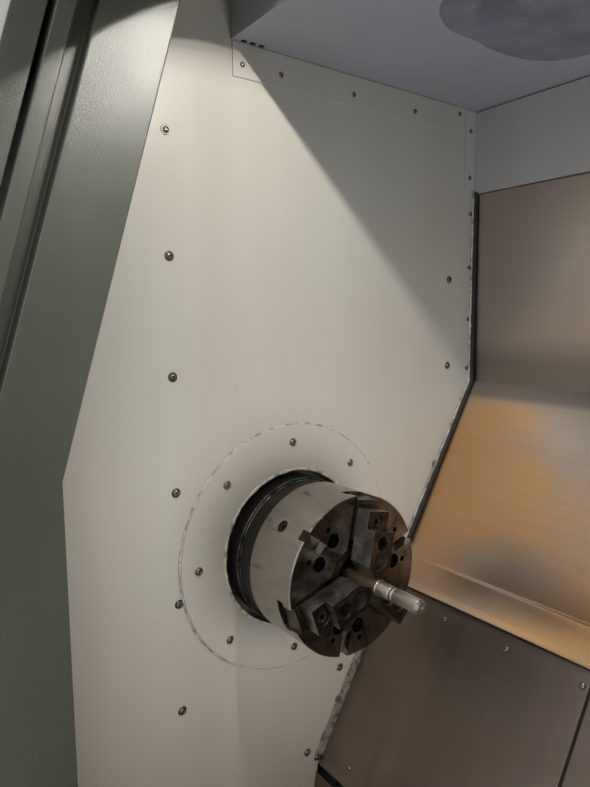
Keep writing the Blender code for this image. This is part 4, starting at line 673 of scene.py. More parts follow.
class Finishes:
    """Every finish on the machine, under the name of its slot in the record where it has one."""

    wall_paint = Enamel(
        "wall_paint", base=(0.395, 0.385, 0.348), shade=(0.385, 0.366, 0.328), grime=(0.20, 0.17, 0.13),
        peel=0.00016, peel_scale=520.0, dirt=0.16, spatter=0.6)
    grey_paint = Enamel(
        "grey_paint", base=(0.27, 0.275, 0.31), shade=(0.25, 0.255, 0.288), gloss=0.34, dirt=0.08)
    header_paint = Enamel(
        "header_paint", base=(0.40, 0.40, 0.40), shade=(0.37, 0.37, 0.37), gloss=0.33, dirt=0.12)
    sage_paint = Enamel(
        "sage_paint", base=(0.078, 0.085, 0.070), shade=(0.060, 0.066, 0.053), grime=(0.024, 0.024, 0.017),
        gloss=0.32, peel=0.00036, peel_scale=820.0, dirt=0.30, coat=0.45)
    beige_paint = Enamel(
        "beige_paint", base=(0.56, 0.53, 0.45), shade=(0.53, 0.50, 0.42), grime=(0.20, 0.16, 0.10),
        gloss=0.34, peel=0.00010, peel_scale=260.0, dirt=0.16)
    casting_paint = Enamel(
        "casting_paint", base=(0.20, 0.22, 0.21), shade=(0.16, 0.18, 0.175), grime=(0.06, 0.05, 0.035),
        gloss=0.42, peel=0.00030, peel_scale=120.0, dirt=0.45)
    # Its golden stain, kept below the fold, is partly a painted warm reflection.
    stainless = SheetMetal(
        "stainless", base=(0.54, 0.485, 0.46), stain=(0.84, 0.50, 0.24), gloss=0.28, stains=1.0,
        dullness=0.06, stains_and_reflection_below=0.2178)
    dull_steel = SheetMetal(
        "dull_steel", base=(0.36, 0.29, 0.245), stain=(0.19, 0.145, 0.115), gloss=0.35, lay=0.4,
        dullness=0.14, wiped=0.55)
    ground_steel = Machined("ground_steel", base=(0.52, 0.50, 0.46))
    chuck_steel = Machined(
        "chuck_steel", base=(0.40, 0.375, 0.345), stain=(0.080, 0.060, 0.050), gloss=0.12, stains=0.12,
        wear=0.0010, dullness=0.10, soiled_x=0.139)
    rim_steel = Machined(
        "rim_steel", base=(0.012, 0.0115, 0.011), stain=(0.030, 0.020, 0.013), bright=(0.62, 0.58, 0.53),
        stains=0.3, wear=0.0016, metal=0.4)
    oiled_steel = Machined(
        "oiled_steel", base=(0.135, 0.110, 0.085), stain=(0.040, 0.028, 0.020), bright=(0.55, 0.52, 0.47),
        stains=0.85, rings=False, wear=0.0009)
    jaw_steel = Machined(
        "jaw_steel", base=(0.135, 0.105, 0.085), stain=(0.040, 0.028, 0.020), bright=(0.62, 0.58, 0.52),
        stains=0.80, rings=False, wear=0.0009, flank=(0.66, 0.62, 0.575))
    black_oxide = Machined(
        "black_oxide", base=(0.012, 0.0115, 0.011), stain=(0.030, 0.020, 0.013), bright=(0.22, 0.21, 0.19),
        gloss=0.30, stains=0.4, wear=0.0006, metal=0.4)
    screw_steel = Machined(
        "screw_steel", base=(0.42, 0.39, 0.34), stain=(0.14, 0.09, 0.06), bright=(0.7, 0.68, 0.64),
        stains=0.7, rings=False, wear=0.0003)
    turned_bar = Machined(
        "turned_bar", base=(0.82, 0.77, 0.70), stain=(0.40, 0.30, 0.21), stains=0.25, wear=0.0, raw_x=0.1835)
    socket_dark = Machined(
        "socket_dark", base=(0.05, 0.042, 0.035), stain=(0.02, 0.016, 0.012), bright=(0.35, 0.32, 0.28),
        gloss=0.3, stains=0.7, rings=False, wear=0.0004, metal=0.8)
    belt_rubber = Moulded("belt_rubber", base=(0.022, 0.022, 0.022), gloss=0.62, grain=0.0001)
    seal_rubber = Moulded("seal_rubber", base=(0.018, 0.018, 0.018), gloss=0.5, grain=0.00006)
    dark_plastic = Moulded("dark_plastic", base=(0.035, 0.035, 0.038), gloss=0.46, grain=0.00008)
    red_plastic = Moulded("red_plastic", base=(0.50, 0.022, 0.018), gloss=0.32, grain=0.00001, dirt=0.12)
    green_plastic = Moulded("green_plastic", base=(0.03, 0.30, 0.08), gloss=0.32, grain=0.00001, dirt=0.12)
    yellow_plastic = Moulded("yellow_plastic", base=(0.72, 0.50, 0.03), gloss=0.36, grain=0.00001, dirt=0.15)
    screen_glass = Moulded("screen_glass", base=(0.012, 0.014, 0.018), gloss=0.12, grain=0.0, dirt=0.35)
    # Near-black finish that paints the shade inside the roof's slots.
    painted_slot_shade = Moulded("painted_slot_shade", base=(0.010, 0.009, 0.008), gloss=0.7, grain=0.0)
    clear_sheet = ClearSheet("clear_sheet", base=(0.86, 0.88, 0.84))
    oil_film = OilFilm("oil_film", base=(0.155, 0.150, 0.195))
    caulk = Sealant("caulk", base=(0.52, 0.49, 0.42), gloss=0.42)
    foil_sealant = Sealant("foil_sealant", base=(0.50, 0.47, 0.42), gloss=0.34, metal=0.75)


@dataclass(frozen=True)
class Head:
    """A screw's head: its radius, height, recess, washer and form, with shares that shape it."""

    radius: float
    height: float
    drive: Drive = Drive.HEX
    washer: float = 0.0
    domed: bool = True
    dome: tuple[Flat, ...] = ((0.0, 0.0), (0.0, 1.0), (0.35, 0.98), (0.72, 0.82), (0.93, 0.60))
    flat: tuple[Flat, ...] = ((0.0, 0.0), (0.0, 1.0), (0.86, 1.0), (0.97, 0.93), (1.0, 0.80))
    socket: float = 0.50
    washer_chamfer: float = 0.0004
    washer_thick: float = 0.0010

    def washer_profile(self) -> list[Step]:
        """The steps of the washer under the head, chamfered on top."""
        side, top, rim = self.washer_thick - self.washer_chamfer, self.washer_thick, self.washer
        return [(0, 0, 0), (0, rim, 0), (side, rim, 0), (top, rim - self.washer_chamfer, 0), (top, 0, 0)]

    def profile(self) -> list[Step]:
        """Works out the steps of the head from its seat up and down into its recess.

        Returns:
            The steps, as Piece.turned takes them.
        """
        shape = self.dome if self.domed else self.flat
        outer = [(self.height * rise, self.radius * reach, 0) for rise, reach in shape]
        if self.drive is Drive.NONE:
            return [*outer, (self.height, 0, 0)]
        size, lobes = self.radius * self.socket, self.drive.value
        top = outer[-1][0] + self.height * 0.04
        mouth = [(top, size * 1.10, lobes), (top - self.height * 0.06, size, lobes)]
        return [*outer, *mouth, (self.height * 0.35, size, lobes), (self.height * 0.30, 0, 0)]


class Piece:
    """One piece of the scene that is being put together from several small meshes."""

    cross_depth = 0.62
    lump_cycles = 90.0
    washer_sink = 0.0001
    end_taper = 0.4

    def __init__(self, name: str, body: Body, finish: Finish, slot: str | None = None) -> None:
        """Starts an empty piece.

        Args:
            name: The piece's name.
            body: The body that it rides on.
            finish: Its finish.
            slot: The record's material slot, where it has one; it is stored but not used.
        """
        self.name, self.body, self.finish, self.slot = name, body, finish, slot
        self.mesh = bmesh.new()

    def outline(self, radius: float, angle: float, lobes: int) -> float:
        """The radius of a round, hexagonal or cross-shaped ring at an angle.

        Args:
            radius: The radius of the ring's circle, or a hexagon's to its flats' corners.
            angle: The angle in radians.
            lobes: 6 for a hexagon, 4 for a cross, 0 for a circle.

        Returns:
            The radius at that angle.
        """
        if lobes == Drive.HEX.value:
            return radius * math.cos(math.pi / 6) / math.cos((angle % (math.pi / 3)) - math.pi / 6)
        if lobes == Drive.CROSS.value:
            return radius * (1 - self.cross_depth * (0.5 - 0.5 * math.cos(4 * angle)))
        return radius

    def turned(self, at: Vector, axis: Vector, profile: list[Step], steps: int = 24) -> None:
        """Adds a closed turned form.

        Args:
            at: Where the axis starts.
            axis: The unit direction of the axis.
            profile: (distance along the axis, radius, lobes) for each ring; a radius of 0 closes an end.
            steps: The number of vertices round.
        """
        helper = UP if abs(axis.z) < 0.9 else ALONG_X
        across = axis.cross(helper).normalized()
        up = across.cross(axis)
        rings = []
        for along, radius, lobes in profile:
            ring = []
            for n in range(steps if radius else 1):
                a = 2 * math.pi * n / steps
                r = self.outline(radius, a, lobes)
                spoke = across * (r * math.cos(a)) + up * (r * math.sin(a))
                ring.append(self.mesh.verts.new(at + axis * along + spoke))
            rings.append(ring)
        for a, b in zip(rings, rings[1:]):
            for n in range(steps):
                m = (n + 1) % steps
                face = [a[n % len(a)], a[m % len(a)], b[m % len(b)], b[n % len(b)]]
                self.mesh.faces.new(list(dict.fromkeys(face)))

    def screw(self, at: Vector, axis: Vector, head: Head) -> None:
        """Adds a screw's head, with its washer and the recess of its drive.

        Args:
            at: The middle of its seat.
            axis: The direction that the head points in.
            head: Its sizes.
        """
        base = at
        if head.washer:
            self.turned(at, axis, head.washer_profile(), 20)
            base = at + axis * (head.washer_thick - self.washer_sink)
        self.turned(base, axis, head.profile())

    def slab(self, low: Vector, high: Vector) -> None:
        """Adds a box between two corners."""
        place = Matrix.Translation((low + high) / 2) @ Matrix.Diagonal((*(high - low), 1.0))
        bmesh.ops.create_cube(self.mesh, size=1.0, matrix=place)

    def bead(self, path: list[Vector], width: float, lump: float, sides: int = 8, seed: float = 0.0,
             flat: float = 1.0, out: Vector = ALONG_X) -> None:
        """Adds a lumpy bead along a path.

        Args:
            path: The points of its middle line.
            width: Its radius.
            lump: The share by which its radius varies.
            sides: The number of sides.
            seed: What sets its lumps apart from another bead's.
            flat: Its height against its width.
            out: The direction away from the surface it lies on.
        """
        closed = (path[0] - path[-1]).length < 1e-6
        points = path[:-1] if closed else path
        count = len(points)
        rings = []
        for n, point in enumerate(points):
            before = points[n - 1] if closed or n else points[0]
            after = points[(n + 1) % count] if closed or n + 1 < count else points[-1]
            along = (after - before).normalized()
            side = along.cross(out).normalized()
            lift = side.cross(along).normalized() * -1
            radius = width * (1 + lump * noise.noise(point * self.lump_cycles + Vector((seed, 0, 0))))
            if not closed and n in (0, count - 1):
                radius *= self.end_taper
            ring = []
            for a in (2 * math.pi * k / sides for k in range(sides)):
                across, over = side * (radius * math.cos(a)), lift * (radius * flat * math.sin(a))
                ring.append(self.mesh.verts.new(point + across + over))
            rings.append(ring)
        for a, b in [*zip(rings, rings[1:]), *([(rings[-1], rings[0])] if closed else [])]:
            for k in range(sides):
                m = (k + 1) % sides
                self.mesh.faces.new((a[k], a[m], b[m], b[k]))
        if not closed:
            self.mesh.faces.new(rings[0])
            self.mesh.faces.new(rings[-1])

    def placed(self, bevel: float = 0.0, angle: float = 32.0) -> bpy.types.Object:
        """Makes the object, shades it, gives it its finish and sets it on its body.

        Args:
            bevel: The width of its rounded edges, or 0 for none.
            angle: Edges sharper than this many degrees stay sharp.

        Returns:
            The finished object.
        """
        bmesh.ops.recalc_face_normals(self.mesh, faces=self.mesh.faces)
        data = bpy.data.meshes.new(self.name)
        self.mesh.to_mesh(data)
        self.mesh.free()
        data.shade_smooth()
        data.set_sharp_from_angle(angle=math.radians(angle))
        data.materials.append(self.finish.material())
        made = bpy.data.objects.new(self.name, data)
        bpy.context.scene.collection.objects.link(made)
        if bevel:
            edge = made.modifiers.new("edge", "BEVEL")
            edge.width, edge.segments, edge.limit_method = bevel, 2, "ANGLE"
            edge.angle_limit = math.radians(angle)
            edge.harden_normals = True
        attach(made, self.body.value)
        LOG.info("%s: %d faces on %s", self.name, len(data.polygons), self.body.value)
        return made


@dataclass
class Castings:
    """The CAD nodes that stay as they are, under the finish of each."""

    finishes: tuple[tuple[Finish, tuple[str, ...]], ...] = (
        (Finishes.casting_paint, ("base_casting", "coolant_tank", "headstock_casting", "saddle")),
        (Finishes.wall_paint, ("headstock_wall", "tail_wall")),
        (Finishes.header_paint, ("rear_header",)),
        (Finishes.grey_paint, ("roof_panel",)),
        (Finishes.dull_steel, ("chip_chute",)),
        (Finishes.beige_paint, (
            "headstock_cover", "control_cover", "front_apron", "left_end_cover", "right_end_cover",
            "top_cover", "rear_cover", "electrical_cabinet")),
        (Finishes.sage_paint, ("front_header",)),
        (Finishes.belt_rubber, ("drive_belt",)),
        (Finishes.screen_glass, ("console_screen",)),
        (Finishes.clear_sheet, ("door_window",)),
    )

    def dress(self) -> None:
        """Puts each finish in its nodes' material slots."""
        for finish, names in self.finishes:
            for name in names:
                slots = frame["nodes"][name].data.materials
                for n in range(len(slots)):
                    slots[n] = finish.material()
                LOG.info("%s: %s", name, finish.name)


@dataclass
class RoundedNodes:
    """The CAD nodes whose real edges and curves are rounder than their facets."""

    nodes: tuple[tuple[Finish, float, tuple[str, ...]], ...] = (
        (Finishes.sage_paint, 0.0022, ("left_post", "right_post")),
        (Finishes.sage_paint, 0.0015, ("sliding_door",)),
        (Finishes.wall_paint, 0.0004, ("spindle_ring_cover",)),
        (Finishes.rim_steel, 0.0005, ("chuck_adapter",)),
        (Finishes.chuck_steel, 0.0004, ("chuck_body",)),
        (Finishes.black_oxide, 0.0003, ("chuck_cover",)),
        (Finishes.oiled_steel, 0.0003, ("master_jaw_1", "master_jaw_2", "master_jaw_3")),
        (Finishes.jaw_steel, 0.0004, ("top_jaw_1", "top_jaw_2", "top_jaw_3")),
        (Finishes.turned_bar, 0.0002, ("workpiece_bar",)),
        (Finishes.stainless, 0.0008, ("slant_cover",)),
        (Finishes.dull_steel, 0.0006, ("way_cover_fixed", "way_cover_moving")),
        (Finishes.ground_steel, 0.0004, ("front_bearing", "rear_bearing", "spindle", "spindle_pulley")),
        (Finishes.ground_steel, 0.0008, ("hydraulic_cylinder",)),
        (Finishes.ground_steel, 0.0003, ("draw_tube",)),
        (Finishes.ground_steel, 0.0004, ("motor_pulley",)),
        (Finishes.grey_paint, 0.0010, ("spindle_motor",)),
        (Finishes.ground_steel, 0.0003, ("ball_screw",)),
        (Finishes.ground_steel, 0.0010, ("cross_slide",)),
        (Finishes.casting_paint, 0.0025, ("turret_housing",)),
        (Finishes.ground_steel, 0.0008, ("turret_disc",)),
        (Finishes.black_oxide, 0.0004, ("turning_tool", "boring_bar")),
        (Finishes.dark_plastic, 0.0012, ("door_handle",)),
        (Finishes.beige_paint, 0.0020, ("operator_console",)),
        (Finishes.beige_paint, 0.0015, ("cabinet_door",)),
        (Finishes.red_plastic, 0.0012, ("isolator_handle",)),
        (Finishes.red_plastic, 0.0010, ("estop_button",)),
        (Finishes.green_plastic, 0.0006, ("cycle_start_button",)),
        (Finishes.dark_plastic, 0.0006, ("override_knob",)),
        (Finishes.ground_steel, 0.0008, ("handwheel",)),
    )
    weld: float = 2e-5
    flatness: float = math.radians(0.6)
    sharp: float = 30.0

    def build(self) -> None:
        """Builds the rounded copy of each node."""
        for finish, edge, names in self.nodes:
            for name in names:
                self.rounded(name, finish, edge)

    def rounded(self, name: str, finish: Finish, edge: float) -> None:
        """Welds a copy of a node's mesh, rounds its edges and lets it stand for the node.

        Args:
            name: The node.
            finish: Its finish.
            edge: The width of its rounded edges.
        """
        source = frame["nodes"][name]
        piece = Piece(f"{name}_finished", Body.MACHINE, finish)
        mesh = piece.mesh
        mesh.from_mesh(source.data)
        bmesh.ops.remove_doubles(mesh, verts=mesh.verts, dist=self.weld)
        bmesh.ops.dissolve_limit(mesh, angle_limit=self.flatness, verts=mesh.verts, edges=mesh.edges)
        made = piece.placed(edge, self.sharp)
        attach(made, source["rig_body"])
        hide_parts(name)


@dataclass
class ChamberWall:
    """Fasteners, flanges, seals and caulk on the headstock wall and round the spindle."""

    column_y: float = -0.1816
    column_top: float = 0.5537
    column_pitch: float = 0.148
    column_count: int = 6
    back_screws: tuple[Flat, ...] = ((0.332, 0.394), (0.332, 0.248), (0.304, 0.079))
    low_screws: tuple[Flat, ...] = (
        (0.091, -0.220), (0.088, -0.272), (0.026, -0.337), (0.045, -0.353), (0.088, -0.416),
    )
    wall_head: Head = Head(0.0042, 0.0026, washer=0.0062)
    flange_screws: tuple[Flat, ...] = (
        (-0.074, 0.650), (-0.014, 0.650), (0.114, 0.650), (0.241, 0.650), (0.347, 0.665),
    )
    flange_head: Head = Head(0.00336, 0.0026, Drive.CROSS)
    rivet_y: float = 0.383
    rivet_heights: tuple[float, ...] = (0.507, 0.416, 0.327, 0.241)
    rivet: Head = Head(0.0034, 0.0022, Drive.NONE)
    ring_face_x: float = 0.0033
    ring_screw_r: float = 0.154
    ring_screws: int = 8
    ring_head: Head = Head(0.0046, 0.0028, washer=0.0058)
    ring_inner_r: float = 0.1131
    ring_outer_r: float = 0.1794
    flange_thick: float = 0.002
    flange_edge: float = 0.0006
    roof_z: float = 0.6765
    roof_flange_foot: Flat = (-0.088, 0.634)
    roof_flange_end: float = 0.360
    header_flange_foot: Flat = (0.366, 0.547)
    header_flange_end: float = 0.3905
    header_screw_y: float = 0.377
    header_screw_heights: Flat = (0.566, 0.642)
    header_head: Head = Head(0.0036, 0.0022, Drive.CROSS)
    slot_middles: tuple[float, ...] = (-0.074, -0.061, -0.048)
    slot_half: float = 0.0035
    slot_ends: Flat = (0.004, 0.0095)
    slot_levels: Flat = (0.6760, 0.6769)
    seam_x: float = 0.0024
    seam_top: Flat = (0.3885, 0.543)
    seam_fold: Flat = (0.3885, 0.2178)
    seam_foot: Flat = (0.078, 0.2204)
    strip_rows: tuple[Flat, ...] = ((0.2248, 0.0040), (0.2195, 0.0034), (0.2145, 0.0024))
    strip_start: float = 0.050
    strip_length: float = 0.325
    strip_points: int = 110

    def build(self) -> None:
        """Builds every piece on the wall."""
        self.screws()
        self.flanges()
        self.roof_slot_shades()
        self.caulk_lines()
        self.rear_seam()
        self.lower_seam()

    def screws(self) -> None:
        """Button heads with washers on the wall, and those on the ring cover."""
        heads = Piece("wall_screws", Body.MACHINE, Finishes.screw_steel, "ground_steel")
        column = [(self.column_y, self.column_top - self.column_pitch * n) for n in range(self.column_count)]
        for y, z in (*column, *self.back_screws, *self.low_screws):
            heads.screw(world(0.0, y, z), ALONG_X, self.wall_head)
        for y, z in self.flange_screws:
            heads.screw(world(self.flange_thick, y, z), ALONG_X, self.flange_head)
        for z in self.rivet_heights:
            heads.screw(world(0.0, self.rivet_y, z), ALONG_X, self.rivet)
        heads.placed()
        ring = Piece("ring_cover_screws", Body.MACHINE, Finishes.screw_steel, "ground_steel")
        for n in range(self.ring_screws):
            seat = polar(self.ring_face_x, self.ring_screw_r, 360 / self.ring_screws * n)
            ring.screw(seat, ALONG_X, self.ring_head)
        ring.placed()

    def flanges(self) -> None:
        """The roof's down-turned flange and the header's flange, both screwed to the wall."""
        for name, finish, foot, end in (
                ("roof_flange", Finishes.wall_paint, self.roof_flange_foot, self.roof_flange_end),
                ("header_flange", Finishes.header_paint, self.header_flange_foot, self.header_flange_end)):
            flange = Piece(name, Body.MACHINE, finish, "wall_paint")
            flange.slab(world(0.0, *foot), world(self.flange_thick, end, self.roof_z))
            flange.placed(self.flange_edge)
        heads = Piece("header_flange_screws", Body.MACHINE, Finishes.screw_steel, "ground_steel")
        for z in self.header_screw_heights:
            heads.screw(world(self.flange_thick, self.header_screw_y, z), ALONG_X, self.header_head)
        heads.placed()

    def roof_slot_shades(self) -> None:
        """Thin near-black plates beside the wall that paint the shade inside the roof's three slots."""
        slots = Piece("roof_slot_shades", Body.MACHINE, Finishes.painted_slot_shade)
        for y in self.slot_middles:
            slots.slab(
                world(self.slot_ends[0], y - self.slot_half, self.slot_levels[0]),
                world(self.slot_ends[1], y + self.slot_half, self.slot_levels[1]))
        slots.placed(0.0004)

    def circle(self, radius: float, x: float, wobble: float, steps: int = 180) -> list[Vector]:
        """Works out a closed, slightly uneven circle about the spindle's axis.

        Args:
            radius: Its radius.
            x: Its place along the axis.
            wobble: How far it strays from its radius.
            steps: The number of its points.

        Returns:
            Its points, the first one again at the end.
        """
        points = []
        for n in range(steps):
            a = 2 * math.pi * n / steps
            drift = wobble * noise.noise(Vector((math.cos(a) * 3, math.sin(a) * 3, radius * 50)))
            points.append(polar(x, radius + drift, math.degrees(a)))
        return [*points, points[0]]

    def caulk_lines(self) -> None:
        """The thin line round the ring cover and the chipped bead inside it."""
        outer = Piece("ring_outer_caulk", Body.MACHINE, Finishes.caulk)
        outer.bead(self.circle(self.ring_outer_r + 0.0006, x=0.0006, wobble=0.0006), width=0.0013, lump=0.5)
        outer.placed()
        inner = Piece("ring_inner_caulk", Body.MACHINE, Finishes.caulk)
        chipped = self.circle(self.ring_inner_r + 0.0012, x=0.0030, wobble=0.0012)
        inner.bead(chipped, width=0.0021, lump=0.7, seed=5.0, flat=0.6)
        inner.placed()

    def rear_seam(self) -> None:
        """The white bead and the black wiper where the rear plates meet the wall."""
        top, fold = world(self.seam_x, *self.seam_top), world(self.seam_x, *self.seam_fold)
        foot = on_slope(self.seam_x, *self.seam_foot)
        path = [*(top.lerp(fold, n / 60) for n in range(60)), *(fold.lerp(foot, n / 56) for n in range(57))]
        bead = Piece("rear_seam_bead", Body.MACHINE, Finishes.caulk)
        bead.bead(path, width=0.0028, lump=0.8, seed=2.0)
        bead.placed()
        wiper = Piece("rear_seam_wiper", Body.MACHINE, Finishes.seal_rubber)
        wiper.bead([p + ALONG_X * 0.0056 for p in path], width=0.0034, lump=0.25, seed=9.0)
        wiper.placed()

    def lower_seam(self) -> None:
        """The crumpled silver sealant strip beside the lower way cover."""
        strip = Piece("lower_seam_sealant", Body.MACHINE, Finishes.foil_sealant)
        for row, (depth, width) in enumerate(self.strip_rows):
            path = []
            for n in range(self.strip_points):
                t = self.strip_start - self.strip_length * n / (self.strip_points - 1)
                drift = 0.0026 * noise.noise(Vector((t * 60, row * 7.0, 0)))
                x = 0.0016 + 0.0006 * noise.noise(Vector((t * 140, row, 3)))
                path.append(on_slope(x, t, depth + drift))
            strip.bead(path, width, lump=0.9, sides=7, seed=row * 3.0, flat=0.5)
        strip.placed(angle=50.0)


@dataclass
class RearPlates:
    """The screws of the way covers at the back of the chamber, and the oil on its roof."""

    screw_rows: tuple[tuple[float, tuple[float, ...]], ...] = (
        (-0.005, (0.124, 0.232, 0.341)), (-0.262, (0.060, 0.200, 0.335)),
    )
    cover_depth: float = 0.2258
    cover_head: Head = Head(0.0044, 0.0022, Drive.CROSS)
    roof_z: float = 0.677
    oil: tuple[Flat, ...] = (
        (0.218, 0.053), (0.198, 0.072), (0.183, 0.097), (0.176, 0.124), (0.176, 0.159), (0.172, 0.201),
        (0.174, 0.243), (0.183, 0.279), (0.202, 0.306), (0.235, 0.322), (0.285, 0.318), (0.330, 0.290),
        (0.352, 0.235), (0.345, 0.160), (0.320, 0.095), (0.270, 0.058), (0.240, 0.050),
    )
    oil_steps: int = 6
    oil_layers: tuple[Flat, ...] = ((1.0, 0.0001), (0.992, 0.0007), (0.97, 0.0009), (0.6, 0.0008))

    def build(self) -> None:
        """Builds the fasteners and the oil."""
        heads = Piece("way_cover_screws", Body.MACHINE, Finishes.screw_steel, "ground_steel")
        for t, places in self.screw_rows:
            for x in places:
                heads.screw(on_slope(x, t, self.cover_depth), SLOPE_NORMAL, self.cover_head)
        heads.placed()
        self.oil_patch()

    def oil_rim(self) -> list[Vector]:
        """Runs a smooth curve through the points of the oil's outline.

        Returns:
            The points of the curve.
        """
        count = len(self.oil)
        rim = []
        for n in range(count):
            p0, p1, p2, p3 = (Vector(self.oil[(n + k) % count]) for k in (-1, 0, 1, 2))
            square, cube = 2 * p0 - 5 * p1 + 4 * p2 - p3, 3 * p1 - p0 - 3 * p2 + p3
            for t in (step / self.oil_steps for step in range(self.oil_steps)):
                rim.append(0.5 * (2 * p1 + (p2 - p0) * t + square * t * t + cube * t ** 3))
        return rim

    def oil_patch(self) -> None:
        """The dark patch of oil that hangs under the roof, thick at its rim."""
        film = Piece("roof_oil", Body.MACHINE, Finishes.oil_film)
        rim = self.oil_rim()
        centre = sum(rim, Vector((0.0, 0.0))) / len(rim)
        rings = []
        for share, drop in self.oil_layers:
            level = [world(*(centre + (p - centre) * share), self.roof_z - drop) for p in rim]
            rings.append([film.mesh.verts.new(p) for p in level])
        for a, b in zip(rings, rings[1:]):
            for n in range(len(rim)):
                m = (n + 1) % len(rim)
                film.mesh.faces.new((a[n], a[m], b[m], b[n]))
        film.mesh.faces.new(rings[-1])
        film.mesh.faces.new(rings[0])
        film.placed()


@dataclass
class ChuckFasteners:
    """Screws and plugs of the three-jaw power chuck."""

    face_x: float = 0.139
    jaw_angles: tuple[float, ...] = (78.8, 198.8, 318.8)
    between_jaws: float = 60.0
    jaw_bolt_radii: tuple[float, ...] = (0.0767, 0.0530)
    jaw_seat_x: float = 0.1513
    jaw_bolt: Head = Head(0.0086, 0.0095, domed=False)
    body_bolt_r: float = 0.0667
    body_bolt_sweep: float = 14.5
    body_bolt_depth: float = 0.030
    body_bolt: Head = Head(0.0090, 0.016, domed=False)
    pin_r: float = 0.084
    pin_sweep: float = 15.8
    pin_depth: float = 0.012
    pin: Head = Head(0.0038, 0.006, domed=False)
    plug_x: float = 0.089
    plug_seat_r: float = 0.099
    plug: Head = Head(0.0078, 0.0036, domed=False)
    cover_screw_x: float = 0.1363
    cover_screw_r: float = 0.0345
    cover_screw: Head = Head(0.0030, 0.0030, domed=False)

    def build(self) -> None:
        """Builds the fasteners of the body, the cover and each jaw."""
        notches = [jaw + self.between_jaws for jaw in self.jaw_angles]
        bolt_x, pin_x = self.face_x - self.body_bolt_depth, self.face_x - self.pin_depth
        body = Piece("chuck_body_screws", Body.SPINDLE, Finishes.socket_dark, "black_oxide")
        for notch in notches:
            for side in (-1, 1):
                bolt = polar(bolt_x, self.body_bolt_r, notch + side * self.body_bolt_sweep)
                body.screw(bolt, ALONG_X, self.body_bolt)
                body.screw(polar(pin_x, self.pin_r, notch + side * self.pin_sweep), ALONG_X, self.pin)
            out = (polar(0, 1, notch) - world(0, 0, 0)).normalized()
            body.screw(polar(self.plug_x, self.plug_seat_r, notch), out, self.plug)
        body.placed()
        cover = Piece("chuck_cover_screws", Body.SPINDLE, Finishes.socket_dark, "black_oxide")
        for notch in notches:
            cover.screw(polar(self.cover_screw_x, self.cover_screw_r, notch), ALONG_X, self.cover_screw)
        cover.placed()
        for n, (jaw, carrier) in enumerate(zip(self.jaw_angles, (Body.JAW_1, Body.JAW_2, Body.JAW_3)), 1):
            bolts = Piece(f"jaw_{n}_bolts", carrier, Finishes.socket_dark, "black_oxide")
            for radius in self.jaw_bolt_radii:
                bolts.screw(polar(self.jaw_seat_x, radius, jaw), ALONG_X, self.jaw_bolt)
            bolts.placed()


@dataclass
class TurretFittings:
    """The ring of bolts on the turret's disc."""

    disc_x: float = 0.690
    disc_t: float = 0.370
    bolt_r: float = 0.078
    bolt_count: int = 8
    first_bolt: float = 22.5
    bolt: Head = Head(0.0075, 0.006, domed=False)

    def build(self) -> None:
        """Builds the bolts on the disc's face."""
        bolts = Piece("turret_bolts", Body.TURRET, Finishes.socket_dark, "black_oxide")
        middle = on_slope(self.disc_x, self.disc_t, 0.0)
        for n in range(self.bolt_count):
            a = math.radians(360 / self.bolt_count * n + self.first_bolt)
            y, z = middle.y + self.bolt_r * math.cos(a), middle.z + self.bolt_r * math.sin(a)
            bolts.screw(Vector((middle.x, y, z)), -ALONG_X, self.bolt)
        bolts.placed()


